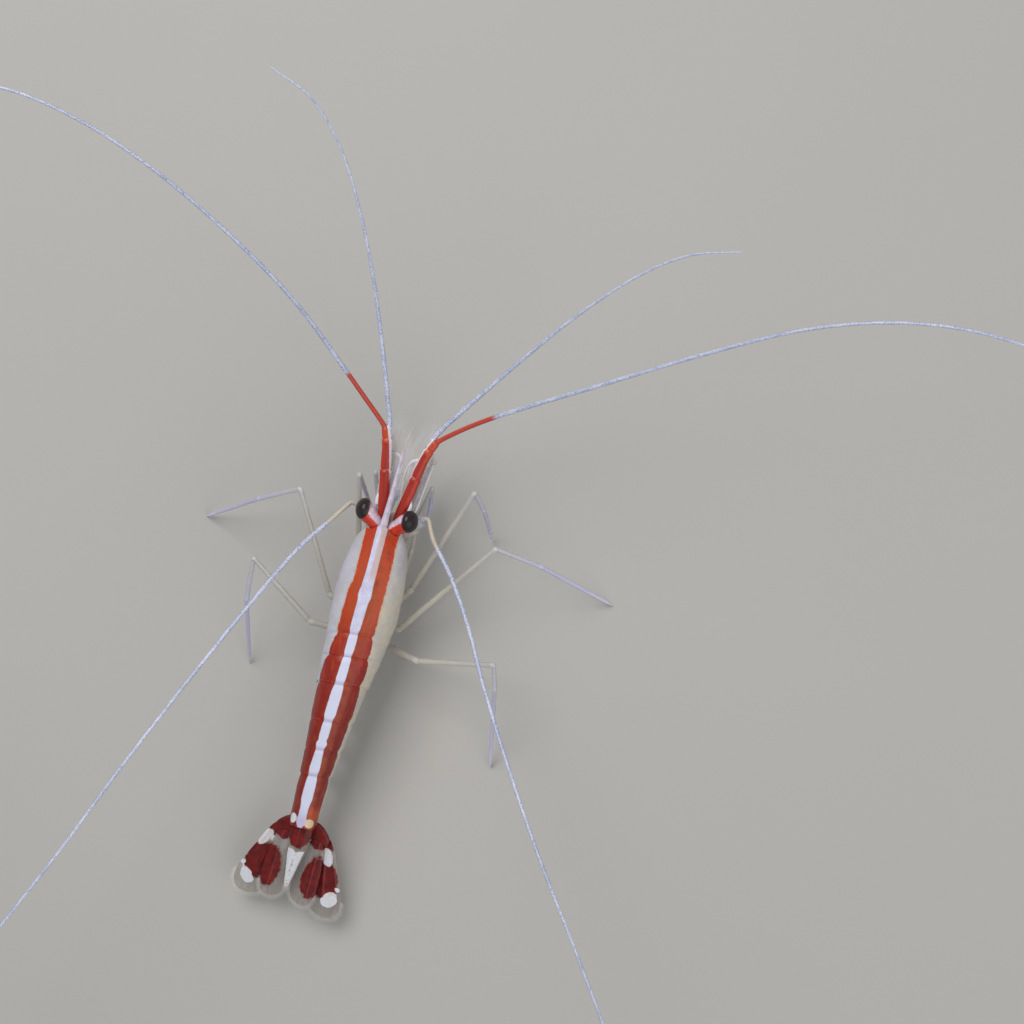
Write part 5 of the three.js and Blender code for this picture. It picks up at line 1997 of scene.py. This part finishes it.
@dataclass(frozen=True)
class Hair:
    """The coats of fine hair, on the parts that carry them."""

    head: Head
    legs: Legs
    swimmerets: Swimmerets
    fan: TailFan

    def build(self) -> None:
        """Makes one piece of hair for each of the parts."""
        finish = SetaFinish().material()
        make_piece("scale_hair", self.head.fringe(), finish, "clear_blade")
        make_piece("limb_hair", self.legs.hair(), finish, "limb")
        make_piece("swimmeret_hair", self.swimmerets.fringe(), finish, "swimmeret")
        make_piece("fan_hair", self.fan.fringe(), finish, "tail_fan")


# ---------------- studio


@dataclass(frozen=True)
class Studio:
    """Pale floor, soft light and the camera, which is rolled about the view and tilted."""

    eye: Point = (-70.11, -12.17, 366.78)
    roll: float = 9.0
    tilt: float = 16.2
    lens: float = 108.84
    lamps: tuple = (  # name, place, watts, size in metres
        ("key_light", (130.0, -160.0, 350.0), 1.2, 0.26),
        ("fill_light", (-260.0, 140.0, 240.0), 0.62, 0.4),
    )
    lit: Point = (0.0, 2.0, 8.0)
    world: Colour = srgb(200, 206, 214)
    world_strength: float = 0.45

    def build(self) -> None:
        """Makes the floor, the lights, the sky and the camera."""
        self.floor()
        for lamp in self.lamps:
            self.light(*lamp)
        world = bpy.data.worlds.new("studio")
        world.use_nodes = True
        sky = world.node_tree.nodes["Background"]
        sky.inputs["Color"].default_value = self.world
        sky.inputs["Strength"].default_value = self.world_strength
        bpy.context.scene.world = world
        bpy.context.scene.view_settings.view_transform = "Standard"
        self.camera()

    def floor(self) -> None:
        """A large level sheet whose top is z = 0."""
        half, thick = 900.0, 2.0
        corners = [(-half, -half), (half, -half), (half, half), (-half, half)]
        grid = np.array([[(x, y, z) for x, y in corners] for z in (0.0, -thick)])
        floor = make_object("floor", woven(grid), PaperFinish().material())

    def light(self, name: str, at: Point, watts: float, size: float) -> None:
        """A square soft light that looks at the animal's middle."""
        lamp = bpy.data.lights.new(name, "AREA")
        lamp.energy, lamp.size = watts, size
        place = SPACE.world(at)
        back = unit(place - SPACE.world(self.lit))
        right = unit(np.cross([0.0, 1.0, 0.0], back))
        self.aim(name, lamp, right, np.cross(back, right), back, place)

    def camera(self) -> None:
        """The camera: above the animal, turned by the roll and then by the tilt."""
        roll, tilt = math.radians(self.roll), math.radians(self.tilt)
        away, ahead = np.array([-1.0, 0.0, 0.0]), np.array([0.0, -1.0, 0.0])
        back = away * math.sin(roll) + UP * math.cos(roll)
        side = away * math.cos(roll) - UP * math.sin(roll)
        right = side * math.cos(tilt) + ahead * math.sin(tilt)
        above = ahead * math.cos(tilt) - side * math.sin(tilt)
        camera = bpy.data.cameras.new("camera")
        camera.lens, camera.sensor_width, camera.clip_start = self.lens, 36.0, 0.01
        bpy.context.scene.camera = self.aim("camera", camera, right, above, back, SPACE.world(self.eye))

    @staticmethod
    def aim(name: str, data: bpy.types.ID, *axes_and_place: Array) -> bpy.types.Object:
        """Puts a lamp or a camera into the scene, with its own x, y and z axes and its place."""
        holder = bpy.data.objects.new(name, data)
        turn = np.eye(4)
        turn[:3] = np.column_stack(axes_and_place)
        bpy.context.scene.collection.objects.link(holder)
        holder.matrix_world = Matrix(turn.tolist())
        return holder


# ---------------- whole


def main() -> None:
    """Builds the shrimp, its hair and the studio."""
    logging.basicConfig(level=logging.INFO, format="%(message)s")
    head, legs, swimmerets, fan = Head(), Legs(), Swimmerets(), TailFan()
    hair = Hair(head, legs, swimmerets, fan)
    for part in (Body(), head, Feelers(), legs, swimmerets, fan, hair, Studio()):
        part.build()


if __name__ == "__main__":
    main()
